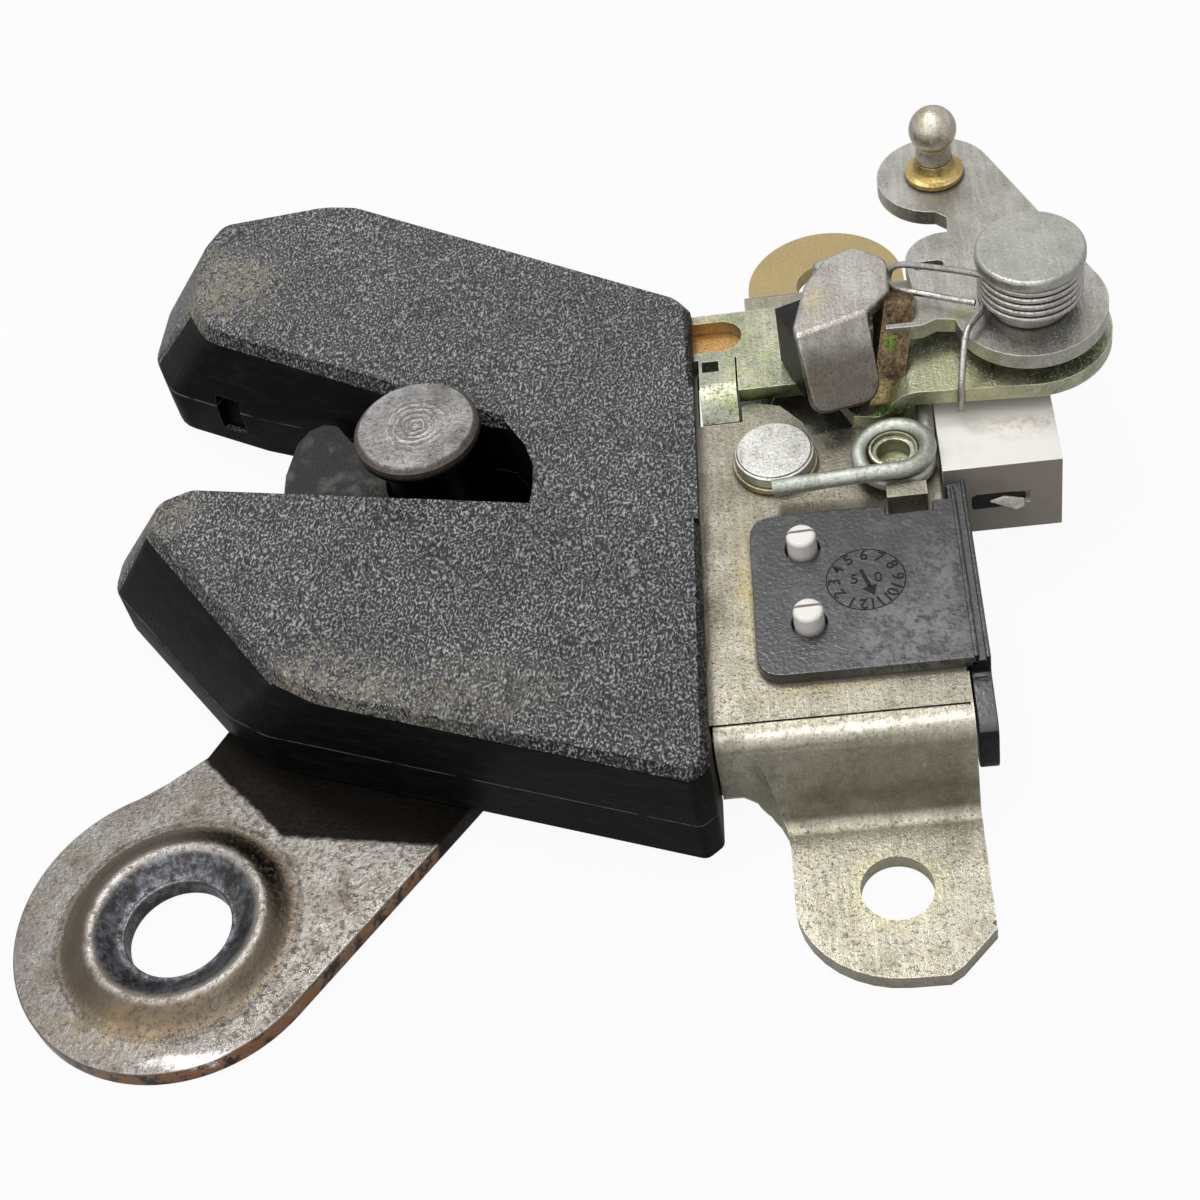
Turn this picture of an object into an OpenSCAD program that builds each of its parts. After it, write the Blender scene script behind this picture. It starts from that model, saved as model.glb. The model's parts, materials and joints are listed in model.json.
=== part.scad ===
// Boot lid lock: a hooked catch holds the pin of the striker in a V-shaped mouth.
// A sprung release lever with a ball stud lifts the pawl that blocks the catch.
// Origin: axis of the lower mounting ear's hole, on the surface that the ears stand on.

/* [Plates] */
// Thickness of the base plate
base_t = 2.0; // [1.6:0.1:2.4]
// Height of the base plate's upper face over the ears' seat
base_top = 14.5; // [14.3:0.1:15.0]
// Thickness of the back plate
back_t = 1.8; // [1.4:0.1:2.0]
// Thickness of the lever bracket
bracket_t = 2.0; // [1.6:0.1:2.2]
// Inside radius of the folds in the sheet
bend_r = 1.6; // [1.0:0.1:2.2]

/* [Reach] */
// Distance of the striker's hole from the ears' holes, along X
striker_reach = 78.2; // [76:0.2:82]
// Distance of the lever's pivot from the ears' holes, along X
lever_reach = 21.8; // [21.4:0.2:24]

/* [Mounting ears] */
// Radius of the screw hole in both ears
ear_hole_r = 3.9; // [3.2:0.1:4.4]
// Radius of the lower ear's round end
ear_r = 11.2; // [10.5:0.1:12.0]
// Radius of the upper ear's round end
upper_ear_r = 10.3; // [9.5:0.1:11.0]
// Distance of the upper ear's hole from the lower one, along Y
ear_span = 94.5; // [92:0.5:97]

/* [Cover] */
// Height of the cover's top face
cover_top = 18.5; // [18.5:0.1:19.5]
// Wall thickness of the cover
cover_wall = 2.0; // [1.6:0.1:2.4]
// Height of the cover's lower rim
cover_rim = 3.0; // [2.8:0.1:3.4]
// Height at which the sloping sides of the jaws turn upright
cover_waist = 9.0; // [8.0:0.5:10.5]
// Radius of the cover's upper edge
cover_edge = 1.2; // [0.6:0.1:1.6]

/* [Catch and pawl] */
// Thickness of the catch
catch_t = 5.2; // [4.6:0.1:5.6]
// Radius of the catch around its pivot
catch_r = 11.0; // [10.4:0.1:11.6]
// Radius of the catch's pivot
catch_pivot_r = 4.0; // [3.4:0.1:4.6]
// Turn of the catch from closed to open
catch_swing = 36; // [30:1:38]
// Thickness of the pawl
pawl_t = 4.0; // [3.2:0.1:4.4]
// Radius of the pawl's nose
nose_r = 2.4; // [2.0:0.1:2.6]
// Depth of the nose in the catch
nose_depth = 2.6; // [2.0:0.1:3.0]
// Radius of the pawl's pivot
pawl_pivot_r = 3.0; // [2.5:0.1:3.5]
// Turn of the pawl from locked to free
pawl_swing = 6; // [4:0.5:7]
// Radius of the heads of the pawl's pivot
pawl_head_r = 4.6; // [4.2:0.1:5.0]

/* [Release lever] */
// Thickness of the lever
lever_t = 2.0; // [1.6:0.1:2.4]
// Height of the lever's upper face
lever_top = 24.5; // [24.0:0.1:24.8]
// Radius of the lever's round end
lever_r = 8.8; // [8.2:0.1:9.4]
// Radius of the lever's pivot
lever_pivot_r = 3.0; // [2.5:0.1:3.5]
// Turn of the lever from rest to released
lever_swing = 12; // [10:1:14]
// Radius of the rivet head over the lever
rivet_head_r = 6.2; // [5.8:0.1:6.8]
// Height of the rivet head's top
rivet_top = 33.0; // [32.2:0.1:33.5]
// Diameter of the ball on the stud
ball_d = 5.6; // [5.0:0.1:6.4]
// Height of the ball's centre over the lever
ball_rise = 6.4; // [5.8:0.1:7.5]

/* [Springs] */
// Wire of the pawl's spring
pawl_wire = 2.0; // [1.6:0.1:2.2]
// Wire of the lever's spring
lever_wire = 1.1; // [0.8:0.05:1.15]
// Turns of the lever's spring
lever_turns = 4; // [3:1:4]
// Wire of the catch's spring
catch_wire = 1.3; // [1.0:0.1:1.5]
// Turns of the catch's spring
catch_turns = 3; // [2:1:3]

/* [Switch] */
// Thickness of the switch cover
switch_cover_t = 1.5; // [1.2:0.1:1.8]
// Radius of the two split pegs
peg_r = 1.75; // [1.4:0.05:2.0]
// Travel of the switch plunger
plunger_travel = 0.8; // [0.6:0.1:0.9]

/* [Striker] */
// Thickness of the striker plate
striker_t = 2.5; // [2.0:0.1:2.6]
// Radius of the striker's shank
pin_r = 5.0; // [4.4:0.1:5.2]
// Radius of the striker's head
pin_head_r = 7.5; // [6.8:0.1:7.9]
// Height of the striker's head over the seat
pin_top = 21.3; // [21.3:0.1:22.5]
// Radius of the striker plate's hole
striker_hole_r = 6.0; // [5.2:0.1:6.6]

/* [Hidden] */
$fn = 64;

// Clearances
run = 0.05;
slack = 0.3;
eps = 0.01;

// Step of the pivots' necks in the back plate, and radius of the spring post
neck_step = 0.8;
post_r = 1.6;

// Levels
base_under = base_top - base_t;
back_under = cover_rim + 0.3;
back_top = back_under + back_t;
catch_top = base_under - 0.4;
catch_under = catch_top - catch_t;
pawl_top = catch_top - 0.7;
pawl_under = pawl_top - pawl_t;
strip_top = base_top + bracket_t;
cover_ceiling = strip_top;
arm_top = strip_top + 4;
lever_under = lever_top - lever_t;

// Places in plan
ear_at = [0, 0];
upper_ear_at = [-1, ear_span];
catch_at = [-58, 38];
pawl_at = [-8.9, 50.7];
lever_at = [lever_reach, 62.4];
ball_at = [13.4, 87.0];
pin_at = [-50.5, 56.9];
coil_at = [4.6, 48.4];
post_at = [-33.5, 20.5];
hook_at = [-50.5, 33.5];
hole_at = [-striker_reach, 2.2];
nose_at = catch_at + (catch_r + nose_r - nose_depth) * [cos(-62), sin(-62)];
claw_at = [0, 60.6];
leg_at = [-0.4, 73.1];
peg_at = [[-6.6, 35.2], [-6.6, 24.2]];
rivet_at = [[-24, 64.9], [-24, 72.1]];
ear_join = [6.4, ear_span - 7.6];

// Angles at which the springs' coils begin, and the turn of the pawl's spring
catch_coil = 70;
lever_coil = 200;
pawl_coil = 450;
full = 360;

// Claw, and the lug that stops the pawl's spring
claw_turn = 19.6;
claw_top = 27.0;
claw_t = 1.8;
tab_x = [3.3, 7.8];
tab_y = 43.4;

// Folds of the lever bracket, along X
joggle_x = [4.6, 6.6];

// Connector of the switch, from and to along X, Y and Z
socket = [9.8, 23.2, 45.3, 60.0, 5.4, 16.2];

// Outlines of the cover's two jaws, on its top face and at its waist, each corner with its radius
lower_top = [[-17.8, 42.0, 0.5], [-37.5, 42.3, 1], [-78.0, 53.9, 3.2], [-82.9, 52.0, 3.2],
             [-83.4, 47.6, 3.2], [-65.6, 23.2, 4], [-60.5, 19.8, 4], [-19.7, 4.9, 1.2],
             [-17.8, 6.4, 1.2]];
lower_waist = [[-17.8, 42.0, 0.5], [-37.5, 42.9, 1], [-83.5, 56.4, 4], [-89.4, 52.6, 4],
               [-89.8, 46.6, 4], [-73.2, 25.6, 4], [-68.6, 22.4, 4], [-19.7, 4.9, 1.2],
               [-17.8, 6.4, 1.2]];
upper_top = [[-17.8, 58.0, 0.5], [-17.8, 75.2, 1.2], [-19.4, 77.6, 1.2], [-61.5, 102.7, 6],
             [-66.0, 103.6, 6], [-80.2, 102.3, 2.8], [-82.6, 97.6, 2.8], [-82.8, 86.6, 5],
             [-79.8, 80.6, 5], [-40.4, 58.6, 1]];
upper_waist = [[-17.8, 58.0, 0.5], [-17.8, 75.2, 1.2], [-19.4, 77.6, 1.2], [-61.5, 103.2, 6],
               [-66.6, 104.6, 6], [-84.6, 103.0, 4], [-89.4, 97.4, 5], [-90.2, 87.2, 5],
               [-87.2, 80.4, 5], [-75.0, 73.8, 1], [-40.4, 59.3, 1]];
mouth_end = [[-37.5, 40.0], [-37.5, 42.3], [-36.8, 47.4], [-36.8, 51.0], [-37.8, 54.4],
             [-40.4, 58.8], [-40.4, 61.0], [-17.8, 61.0], [-17.8, 40.0]];
mouth = [[-96, 59.1], [-78.0, 53.9], [-37.5, 42.3], [-36.8, 47.4], [-36.8, 51.0],
         [-37.8, 54.4], [-40.4, 58.6], [-79.8, 80.6], [-96, 92.0]];

function unit(v) = v / norm(v);
function turned(v) = [-v[1], v[0]];

// Arc of radius r that rounds corner b of the path a, b, c, in steps of about 18 degrees
function corner(a, b, c, r) =
    let (u = unit(a - b), v = unit(c - b), half = acos(u * v) / 2,
         centre = b + unit(u + v) * r / sin(half),
         from = b + u * r / tan(half) - centre,
         to = b + v * r / tan(half) - centre,
         a0 = atan2(from[1], from[0]),
         raw = atan2(to[1], to[0]) - a0,
         sweep = raw > 180 ? raw - 360 : raw < -180 ? raw + 360 : raw,
         n = max(1, ceil(abs(sweep) / 18)))
    [for (i = [0:n]) centre + r * [cos(a0 + sweep * i / n), sin(a0 + sweep * i / n)]];

// Open path with its inner corners rounded
function soft_path(p, r) =
    [p[0], for (i = [1:len(p) - 2]) each corner(p[i - 1], p[i], p[i + 1], r),
     p[len(p) - 1]];

// Closed outline with every corner rounded, by its third value
function flat(v) = [v[0], v[1]];
function soft_loop(p) =
    [for (i = [0:len(p) - 1])
        each corner(flat(p[(i + len(p) - 1) % len(p)]), flat(p[i]), flat(p[(i + 1) % len(p)]),
                    p[i][2])];

// Point where the line from p touches the circle of radius r around c, on the side s
function tangent(c, r, p, s) =
    let (v = p - c, a = atan2(v[1], v[0]) + s * acos(r / norm(v)))
    c + r * [cos(a), sin(a)];

// Closed convex outline, anticlockwise, moved outwards by d
function grown(p, d) =
    [for (i = [0:len(p) - 1])
        let (a = unit(p[i] - p[(i + len(p) - 1) % len(p)]),
             b = unit(p[(i + 1) % len(p)] - p[i]),
             m = unit(a + b))
        p[i] - turned(m) * d / (a * m)];

// Outline of a sheet of thickness t, folded along the path
function normal_at(p, i) =
    let (a = i == 0 ? p[1] - p[0] : p[i] - p[i - 1],
         b = i == len(p) - 1 ? p[i] - p[i - 1] : p[i + 1] - p[i],
         m = unit(unit(a) + unit(b)))
    turned(m) / (unit(a) * m);
function ribbon(p, t) =
    concat([for (i = [0:len(p) - 1]) p[i] + normal_at(p, i) * t / 2],
           [for (i = [len(p) - 1:-1:0]) p[i] - normal_at(p, i) * t / 2]);

// Sheet folded in the YZ plane, from x0 to x1
module fold_x(path, t, x0, x1) {
    translate([x0, 0, 0])
        rotate([90, 0, 90])
            linear_extrude(x1 - x0)
                polygon(ribbon(soft_path(path, bend_r + t / 2), t));
}

// Sheet folded in the XZ plane, from y0 to y1
module fold_y(path, t, y0, y1) {
    translate([0, y1, 0])
        rotate([90, 0, 0])
            linear_extrude(y1 - y0)
                polygon(ribbon(soft_path(path, bend_r + t / 2), t));
}

module plate(outline, z0, z1) {
    translate([0, 0, z0])
        linear_extrude(z1 - z0)
            polygon(outline);
}

module disc(at, r, z0, z1) {
    translate([at[0], at[1], z0])
        cylinder(r = r, h = z1 - z0);
}

module box(x0, x1, y0, y1, z0, z1) {
    translate([x0, y0, z0])
        cube([x1 - x0, y1 - y0, z1 - z0]);
}

// Round wire of diameter d along the points p
module wire(p, d, sides = 8) {
    n = len(p);
    frames = [for (i = [0:n - 1])
        let (t = unit((i < n - 1 ? p[i + 1] : p[i]) - (i > 0 ? p[i - 1] : p[i])),
             s = unit(cross(abs(t[2]) > 0.9 ? [1, 0, 0] : [0, 0, 1], t)))
        [s, cross(t, s)]];
    rings = [for (i = [0:n - 1], k = [0:sides - 1])
        p[i] + d / 2 * (cos(360 * k / sides) * frames[i][0]
                      + sin(360 * k / sides) * frames[i][1])];
    sides_of = [for (i = [0:n - 2], k = [0:sides - 1])
        let (a = i * sides + k, b = i * sides + (k + 1) % sides)
        [a, b, b + sides, a + sides]];
    start = [for (k = [sides - 1:-1:0]) k];
    finish = [for (k = [0:sides - 1]) (n - 1) * sides + k];
    polyhedron(rings, concat([start], sides_of, [finish]), convexity = 8);
}

// Points of a coil around at, rising from z by one pitch a turn
function coil(at, r, z, pitch, a0, a1, step = 22.5) =
    [for (i = [0:ceil(abs(a1 - a0) / step)])
        let (a = a0 + (a1 - a0) * i / ceil(abs(a1 - a0) / step))
        [at[0] + r * cos(a), at[1] + r * sin(a), z + pitch * abs(a - a0) / 360]];

module lower_ear_plan(z0, z1) {
    middle = [0.4, -0.8];
    side = 9.7;
    round_end = [for (a = [180:10:270]) middle + ear_r * [cos(a), sin(a)]];
    nick = [[side, -6.4], [side - 0.5, -5.6], [side, -5.2]];
    plan = concat(round_end, [[4.4, middle[1] - ear_r], [5.8, 0.2 - ear_r]], nick,
                  [[side, 20], [-17.6, 20], [-17.6, 11.4], [-15.8, 11.4]],
                  corner([-15.8, 11.4], [middle[0] - ear_r, 11.4], [middle[0] - ear_r, 0], 4.6));
    difference() {
        plate(plan, z0, z1);
        disc(ear_at, ear_hole_r, z0 - 1, z1 + 1);
    }
}

module upper_ear_plan(z0, z1) {
    difference() {
        union() {
            box(upper_ear_at[0] - upper_ear_r, upper_ear_at[0] + upper_ear_r, 70,
                upper_ear_at[1], z0, z1);
            disc(upper_ear_at, upper_ear_r, z0, z1);
        }
        disc(upper_ear_at, ear_hole_r, z0 - 1, z1 + 1);
    }
}

base_outline = [[9.4, 12.6], [9.4, 82], [-11.3, 82], [-11.3, 75], [-21, 74.8], [-53.6, 94.4],
                [-63, 99.6], [-78.4, 98.4], [-79.8, 86], [-79.8, 52], [-80, 48],
                [-65, 26.6], [-61, 23.6], [-30, 12.6]];

// Folded ends of the base plate: from the flat down to the seat and out to the ears
module lower_end() {
    intersection() {
        fold_x([[18, base_top - base_t / 2], [12.4, base_top - base_t / 2],
                [9.6, base_t / 2], [-14, base_t / 2]], base_t, -17.6, 9.7);
        lower_ear_plan(-1, base_top + 1);
    }
}

module upper_end() {
    intersection() {
        fold_x([[74, base_top - base_t / 2], [80.2, base_top - base_t / 2],
                [84, base_t / 2], [112, base_t / 2]], base_t,
               upper_ear_at[0] - upper_ear_r, upper_ear_at[0] + upper_ear_r);
        upper_ear_plan(-1, base_top + 1);
    }
}

module base_plate() {
    // Opening under the claw and the bracket's tongue
    opening = [[-17.6, 66.4], [-17.6, 58.2], [-12.4, 58.2], [-12.4, 60.8], [-11.1, 61.2],
               [-7.9, 60.2], [-5.5, 57.2], [-4.7, 54.7], [1.0, 55.4], [5.0, 57.4],
               [5.0, 64.0], [-12.4, 66.4]];
    color("#a8a78c") {
        difference() {
            union() {
                difference() {
                    plate(base_outline, base_under, base_top);
                    box(-20, 20, 0, 13.2, base_under - 1, base_top + 1);
                    box(-20, 20, 79.4, 90, base_under - 1, base_top + 1);
                }
                lower_end();
                upper_end();
            }
            // The ears are nodes of their own
            box(-20, 20, -20, ear_join[0], -1, base_top + 1);
            box(-20, 20, ear_join[1], 120, -1, base_top + 1);
            plate(grown(mouth, cover_wall + slack), base_under - 1, base_top + 1);
            plate(opening, base_under - 1, base_top + 1);
            disc(catch_at, catch_pivot_r + run, base_under - 1, base_top + 1);
            disc(pawl_at, pawl_pivot_r + run, base_under - 1, base_top + 1);
            disc(coil_at, 2.0 + run, base_under - 1, base_top + 1);
            disc(post_at, post_r + run, base_under - 1, base_top + 1);
            for (p = peg_at)
                disc(p, peg_r + run, base_under - 1, base_top + 1);
            for (p = rivet_at)
                disc(p, 2.0 + run, base_under - 1, base_top + 1);
            // Window for the claw's leg
            box(-6.2, 6.2, 70.2, 76.6, base_under - 1, base_top + 1);
            // Window that the spring's stop was lanced from
            box(tab_x[0], tab_x[1], tab_y - 5, tab_y - base_t / 2 + 0.2, base_under - 1,
                base_top + 1);
        }
        spring_stop();
    }
}

module ear_lower() {
    color("#a8a78c")
        intersection() {
            lower_end();
            box(-20, 20, -20, ear_join[0], -1, base_top);
        }
}

module ear_upper() {
    color("#b8a878")
        intersection() {
            upper_end();
            box(-20, 20, ear_join[1], 120, -1, base_top);
        }
}

// Lug lanced up out of the base plate, against the leg of the pawl's spring
module spring_stop() {
    box(tab_x[0], tab_x[1], tab_y - base_t, tab_y, base_under, base_top + 2.6);
}

module back_plate() {
    outline = [[-15.2, 12.7, 1], [-15.2, 43, 1], [-3, 45, 1], [-3, 57, 1], [-30, 57, 1],
               [-33.5, 50, 1], [-33.5, 40, 1], [-37.5, 39.4, 1], [-76, 50.2, 1],
               [-83.5, 46.5, 1], [-71, 28.6, 1], [-66, 25.6, 1], [-28, 12.7, 1]];
    color("#7a5a3a")
        difference() {
            plate(soft_loop(outline), back_under, back_top);
            disc(catch_at, catch_pivot_r - neck_step + run, 0, 20);
            disc(pawl_at, pawl_pivot_r - neck_step + run, 0, 20);
            disc(post_at, post_r - neck_step / 2 + run, 0, 20);
        }
}

// One jaw of the cover, solid: upright up to the waist and then leaning in
module jaw(top, waist, inset, z0, z1) {
    hull() {
        plate(grown(soft_loop(waist), -inset), z0, cover_waist);
        plate(grown(soft_loop(top), -inset), z1 - cover_edge - eps, z1 - cover_edge);
        plate(grown(soft_loop(top), -inset - cover_edge * 0.7), z1 - eps, z1);
    }
}

module pocket() {
    at = [-78.4, 77.0];
    translate([at[0], at[1], 7.6])
        rotate([-18, 0, -29])
            translate([-1.9, -3.6, -2.6])
                cube([3.8, 4.4, 5.2]);
}

module cover() {
    color("#2a2b2d")
        difference() {
            union() {
                jaw(lower_top, lower_waist, 0, cover_rim, cover_top);
                jaw(upper_top, upper_waist, 0, cover_rim, cover_top);
                plate(mouth_end, cover_rim, cover_top);
            }
            jaw(lower_top, lower_waist, cover_wall, cover_rim - 1, cover_ceiling);
            jaw(upper_top, upper_waist, cover_wall, cover_rim - 1, cover_ceiling);
            difference() {
                box(-42, -17, 38, 62, cover_rim - 1, cover_ceiling);
                plate(grown(mouth, cover_wall), cover_rim - 2, cover_top);
            }
            // Pocket in the wall of the upper jaw
            pocket();
            // Open end over the base plate
            box(-22, -17, 12.4, 76, cover_rim - 1, cover_ceiling);
            // Way of the catch through the wall of the lower jaw
            plate([[-82.6, 58], [-82.6, 50], [-50, 40], [-50, 50]], cover_rim - 1, base_top);
        }
    // Posts that stand on the base plate
    color("#2a2b2d")
        for (p = [[-25, 32], [-46, 82], [-70, 88], [-73, 42]])
            disc(p, 2.2, base_top, cover_ceiling + 0.2);
}

function turned_about(p, c, a) =
    c + [cos(a) * (p[0] - c[0]) - sin(a) * (p[1] - c[1]),
         sin(a) * (p[0] - c[0]) + cos(a) * (p[1] - c[1])];

module catch() {
    finger = [[-64.5, 39], [-68.7, 48], [-69.0, 60], [-68.0, 65.2], [-66.6, 67.4],
              [-64.8, 68.2], [-63.0, 67.6], [-61.0, 64.6], [-56, 62.4], [-54.5, 52],
              [-49, 44.2]];
    notch_steps = 9;
    color("#4a4a4a")
        difference() {
            union() {
                disc(catch_at, catch_r, catch_under, catch_top);
                plate(finger, catch_under, catch_top);
            }
            disc(catch_at, catch_pivot_r + run, 0, 20);
            disc(pin_at, pin_r + 0.6, 0, 20);
            disc(hook_at, catch_wire / 2 + slack, 0, 20);
            // The way that the pawl's nose takes out of the catch as the two turn
            for (i = [0:notch_steps]) {
                s = i / notch_steps;
                nose = turned_about(nose_at, pawl_at, pawl_swing * s);
                disc(turned_about(nose, catch_at, -catch_swing * s), nose_r + slack, 0, 20);
            }
        }
}

module catch_pivot() {
    color("#8f8f86")
        union() {
            disc(catch_at, catch_pivot_r - neck_step, back_under, back_top + eps);
            disc(catch_at, catch_pivot_r, back_top, base_top + eps);
            disc(catch_at, catch_pivot_r + 2, base_top, cover_ceiling - slack);
        }
}

module spring_post() {
    color("#8f8f86")
        union() {
            disc(post_at, post_r - neck_step / 2, back_under, back_top + eps);
            disc(post_at, post_r, back_top, base_top + 0.8);
            disc(post_at, post_r + 1, base_top, base_top + 0.8);
        }
}

module catch_spring() {
    mean = post_r + slack + catch_wire / 2;
    z = back_top + catch_wire / 2 + 0.1;
    turns = coil(post_at, mean, z, catch_wire + 0.1, catch_coil,
                 catch_coil - full * catch_turns);
    last = turns[len(turns) - 1];
    color("#9a9a94")
        wire(concat([[hook_at[0], hook_at[1], catch_under + 2], [hook_at[0], hook_at[1], z + 0.3],
                     [hook_at[0] + 0.5, hook_at[1] - 0.4, z]],
                    turns, [[-22.4, 17.2, last[2]]]),
             catch_wire);
}

module pawl() {
    long_arm = [[-10.5, 56.5], [-31, 40.6], [-45.3, 34.4], [-48.6, 29.6],
                nose_at + [-1.9, 1.4], nose_at + [1.4, -1.9], [-46.5, 25.6], [-40, 28.2],
                [-6.5, 45.2]];
    short_arm = [[-15, 50.7], [-3.6, 76.2], [4.6, 76.8], [5.4, 71.4], [-2.6, 50.7]];
    heel = [[-8.9, 44.6], [2.4, 46.2], [3.0, 48.6], [-4, 55]];
    color("#8c8c84")
        difference() {
            union() {
                disc(pawl_at, 6.4, pawl_under, pawl_top);
                plate(long_arm, pawl_under, pawl_top);
                plate(short_arm, pawl_under, pawl_top);
                plate(heel, pawl_under, pawl_top);
                disc(nose_at, nose_r, pawl_under, pawl_top);
            }
            disc(pawl_at, pawl_pivot_r + run, 0, 20);
        }
}

module pawl_pivot() {
    color("#c8c8c0")
        union() {
            disc(pawl_at, pawl_pivot_r - neck_step, back_under, back_top + eps);
            disc(pawl_at, pawl_pivot_r, back_top, base_top + 1.2);
            disc(pawl_at, pawl_head_r, base_top + 0.9, base_top + 2.3);
            disc(pawl_at, pawl_head_r - 0.3, base_top + 2.2, base_top + 2.6);
        }
}

module pivot_washer() {
    color("#b8b89a")
        difference() {
            disc(pawl_at, pawl_head_r + 0.3, base_top, base_top + 0.9);
            disc(pawl_at, pawl_pivot_r + run, 0, 20);
        }
}

module spring_boss() {
    color("#7f8f5a")
        difference() {
            union() {
                disc(coil_at, 2.0, base_under, base_top + eps);
                disc(coil_at, 2.55, base_top, base_top + pawl_wire + 0.6);
            }
            disc(coil_at, 1.9, base_top + 0.6, base_top + 10);
        }
}

module pawl_spring() {
    mean = 2.55 + 0.2 + pawl_wire / 2;
    z = base_top + pawl_wire / 2 + 0.05;
    turns = coil(coil_at, mean, z, pawl_wire * 1.02, 0, -pawl_coil);
    last = turns[len(turns) - 1];
    low_leg = [coil_at[0] + mean + 0.6, coil_at[1] + 7.8, z + 0.6];
    color("#b4b8b0")
        wire(concat([low_leg], turns, [[coil_at[0] - 13.9, coil_at[1] - mean + 0.1, last[2] - 0.9]]),
             pawl_wire, 10);
}

// Room that the claw keeps over the folded bracket
module claw_room() {
    room = 0.4;
    rise = 0.6;
    translate([0, 70, 0])
        rotate([90, 0, 0])
            linear_extrude(20)
                polygon([[-12, strip_top + room], [joggle_x[0] - rise, strip_top + room],
                         [joggle_x[1] - rise, arm_top + room], [30, arm_top + room], [30, 0],
                         [-12, 0]]);
}

module claw_sheet() {
    outline = [[-4.9, -6], [3.9, -6], [3.9, 0], [8.0, 3.6], [8.0, 6.8], [6.4, 12.9],
               [1.4, 12.9], [-3.1, 5.2], [-4.2, 0.4]];
    translate([claw_at[0], claw_at[1], 0])
        rotate([0, 0, claw_turn])
            intersection() {
                fold_x([[-3.0, strip_top + 0.5], [-1.0, claw_top - claw_t / 2],
                        [16, claw_top - claw_t / 2]], claw_t, -6, 12);
                plate(outline, 0, 40);
            }
}

module claw() {
    slot_y = [60.2, 65.8];
    color("#8d8478")
        difference() {
            union() {
                claw_sheet();
                // Side lug with the slot that the lever's arm reaches into
                difference() {
                    box(5.8, 7.4, 58.6, 68, arm_top + 0.4, claw_top - claw_t + 0.2);
                    box(4, 9, slot_y[0], slot_y[1], lever_under - 0.6, lever_top + 0.2);
                }
                // Leg down to the pawl
                translate([leg_at[0], leg_at[1], pawl_top])
                    rotate([0, 0, claw_turn])
                        translate([-2.5, -0.9, 0])
                            cube([5, 1.8, claw_top - pawl_top - 0.6]);
            }
            claw_room();
        }
}

module claw_insert() {
    color("#1d1d1f")
        difference() {
            translate([claw_at[0], claw_at[1], 0])
                rotate([0, 0, claw_turn])
                    translate([-5.2, -0.6, strip_top + 0.4])
                        cube([8.2, 7.6, claw_top - claw_t - strip_top - 0.4]);
            claw_room();
            claw_sheet();
        }
}

module lever_bracket() {
    // Edge beside the cover, where the strip is cut back for its tongue
    step_x = -12.6;
    outline = [[-30, 61.6], [-18.4, 61.6], [-18.4, 67.4], [step_x, 67.4], [step_x, 61.6],
               [-2.4, 61.6], [0.6, 55.2], [4.2, 54.4], [7.0, 54.0],
               [lever_at[0], lever_at[1] - 9.3], [lever_at[0], lever_at[1] + 9.3], [7.5, 69.2],
               [-6.4, 69.2], [-6.4, 75.2], [-30, 75.2]];
    slot_at = [-14.4, 71.2];
    slot_r = 2.6;
    color("#9aa27a")
        union() {
            difference() {
                intersection() {
                    fold_y([[-30, base_top + bracket_t / 2],
                            [joggle_x[0], base_top + bracket_t / 2],
                            [joggle_x[1], arm_top - bracket_t / 2],
                            [40, arm_top - bracket_t / 2]], bracket_t, 50, 80);
                    union() {
                        plate(outline, 0, 40);
                        disc(lever_at, 9.3, 0, 40);
                    }
                }
                disc(lever_at, lever_pivot_r + run, 0, 40);
                for (p = rivet_at)
                    disc(p, 2.0 + run, 0, 40);
                // Oblong hole beside the cover
                box(slot_at[0] - 5, slot_at[0], slot_at[1] - slot_r, slot_at[1] + slot_r, 0, 40);
                disc(slot_at, slot_r, 0, 40);
                disc([slot_at[0] - 5, slot_at[1]], slot_r, 0, 40);
            }
            // Tongue that curls down beside the cover, with a small window
            difference() {
                fold_x([[68.0, base_top + bracket_t / 2], [62.4, base_top + bracket_t / 2],
                        [59.6, base_under + 0.6]], bracket_t, -17.2, step_x - 0.2);
                box(-16.8, -14.8, 65.2, 67.0, 0, 40);
            }
        }
}

module bracket_rivets() {
    color("#a0a090")
        for (p = rivet_at)
            union() {
                disc(p, 2.0, base_under - 0.5, strip_top);
                disc(p, 3.2, base_under - 1.2, base_under);
            }
}

module release_lever() {
    web = [[20.0, 89.4], [30.1, 65.3], [26, 58], [15.6, 57.0], [14.2, 60.8], [11.0, 61.4],
           [9.4, 60.6], [7.9, 60.6], [5.2, 60.7], [5.2, 62.8], [8.0, 63.0], [8.9, 66.4],
           [8.4, 71.4], [13.8, 75.6], [14.0, 78.8], [12.6, 80.2]];
    color("#a9a99f")
        difference() {
            union() {
                disc(lever_at, lever_r, lever_under, lever_top);
                disc(ball_at, 7.0, lever_under, lever_top);
                disc([13.2, 71.4], 4.8, lever_under, lever_top);
                plate(web, lever_under, lever_top);
            }
            disc(lever_at, lever_pivot_r + run, 0, 40);
            disc(ball_at, 1.8, 0, 40);
            // Oblong hole
            box(9.9, 12.1, 70.0, 71.4, 0, 40);
            disc([9.9, 70.7], 0.7, 0, 40);
            disc([12.1, 70.7], 0.7, 0, 40);
        }
}

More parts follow.
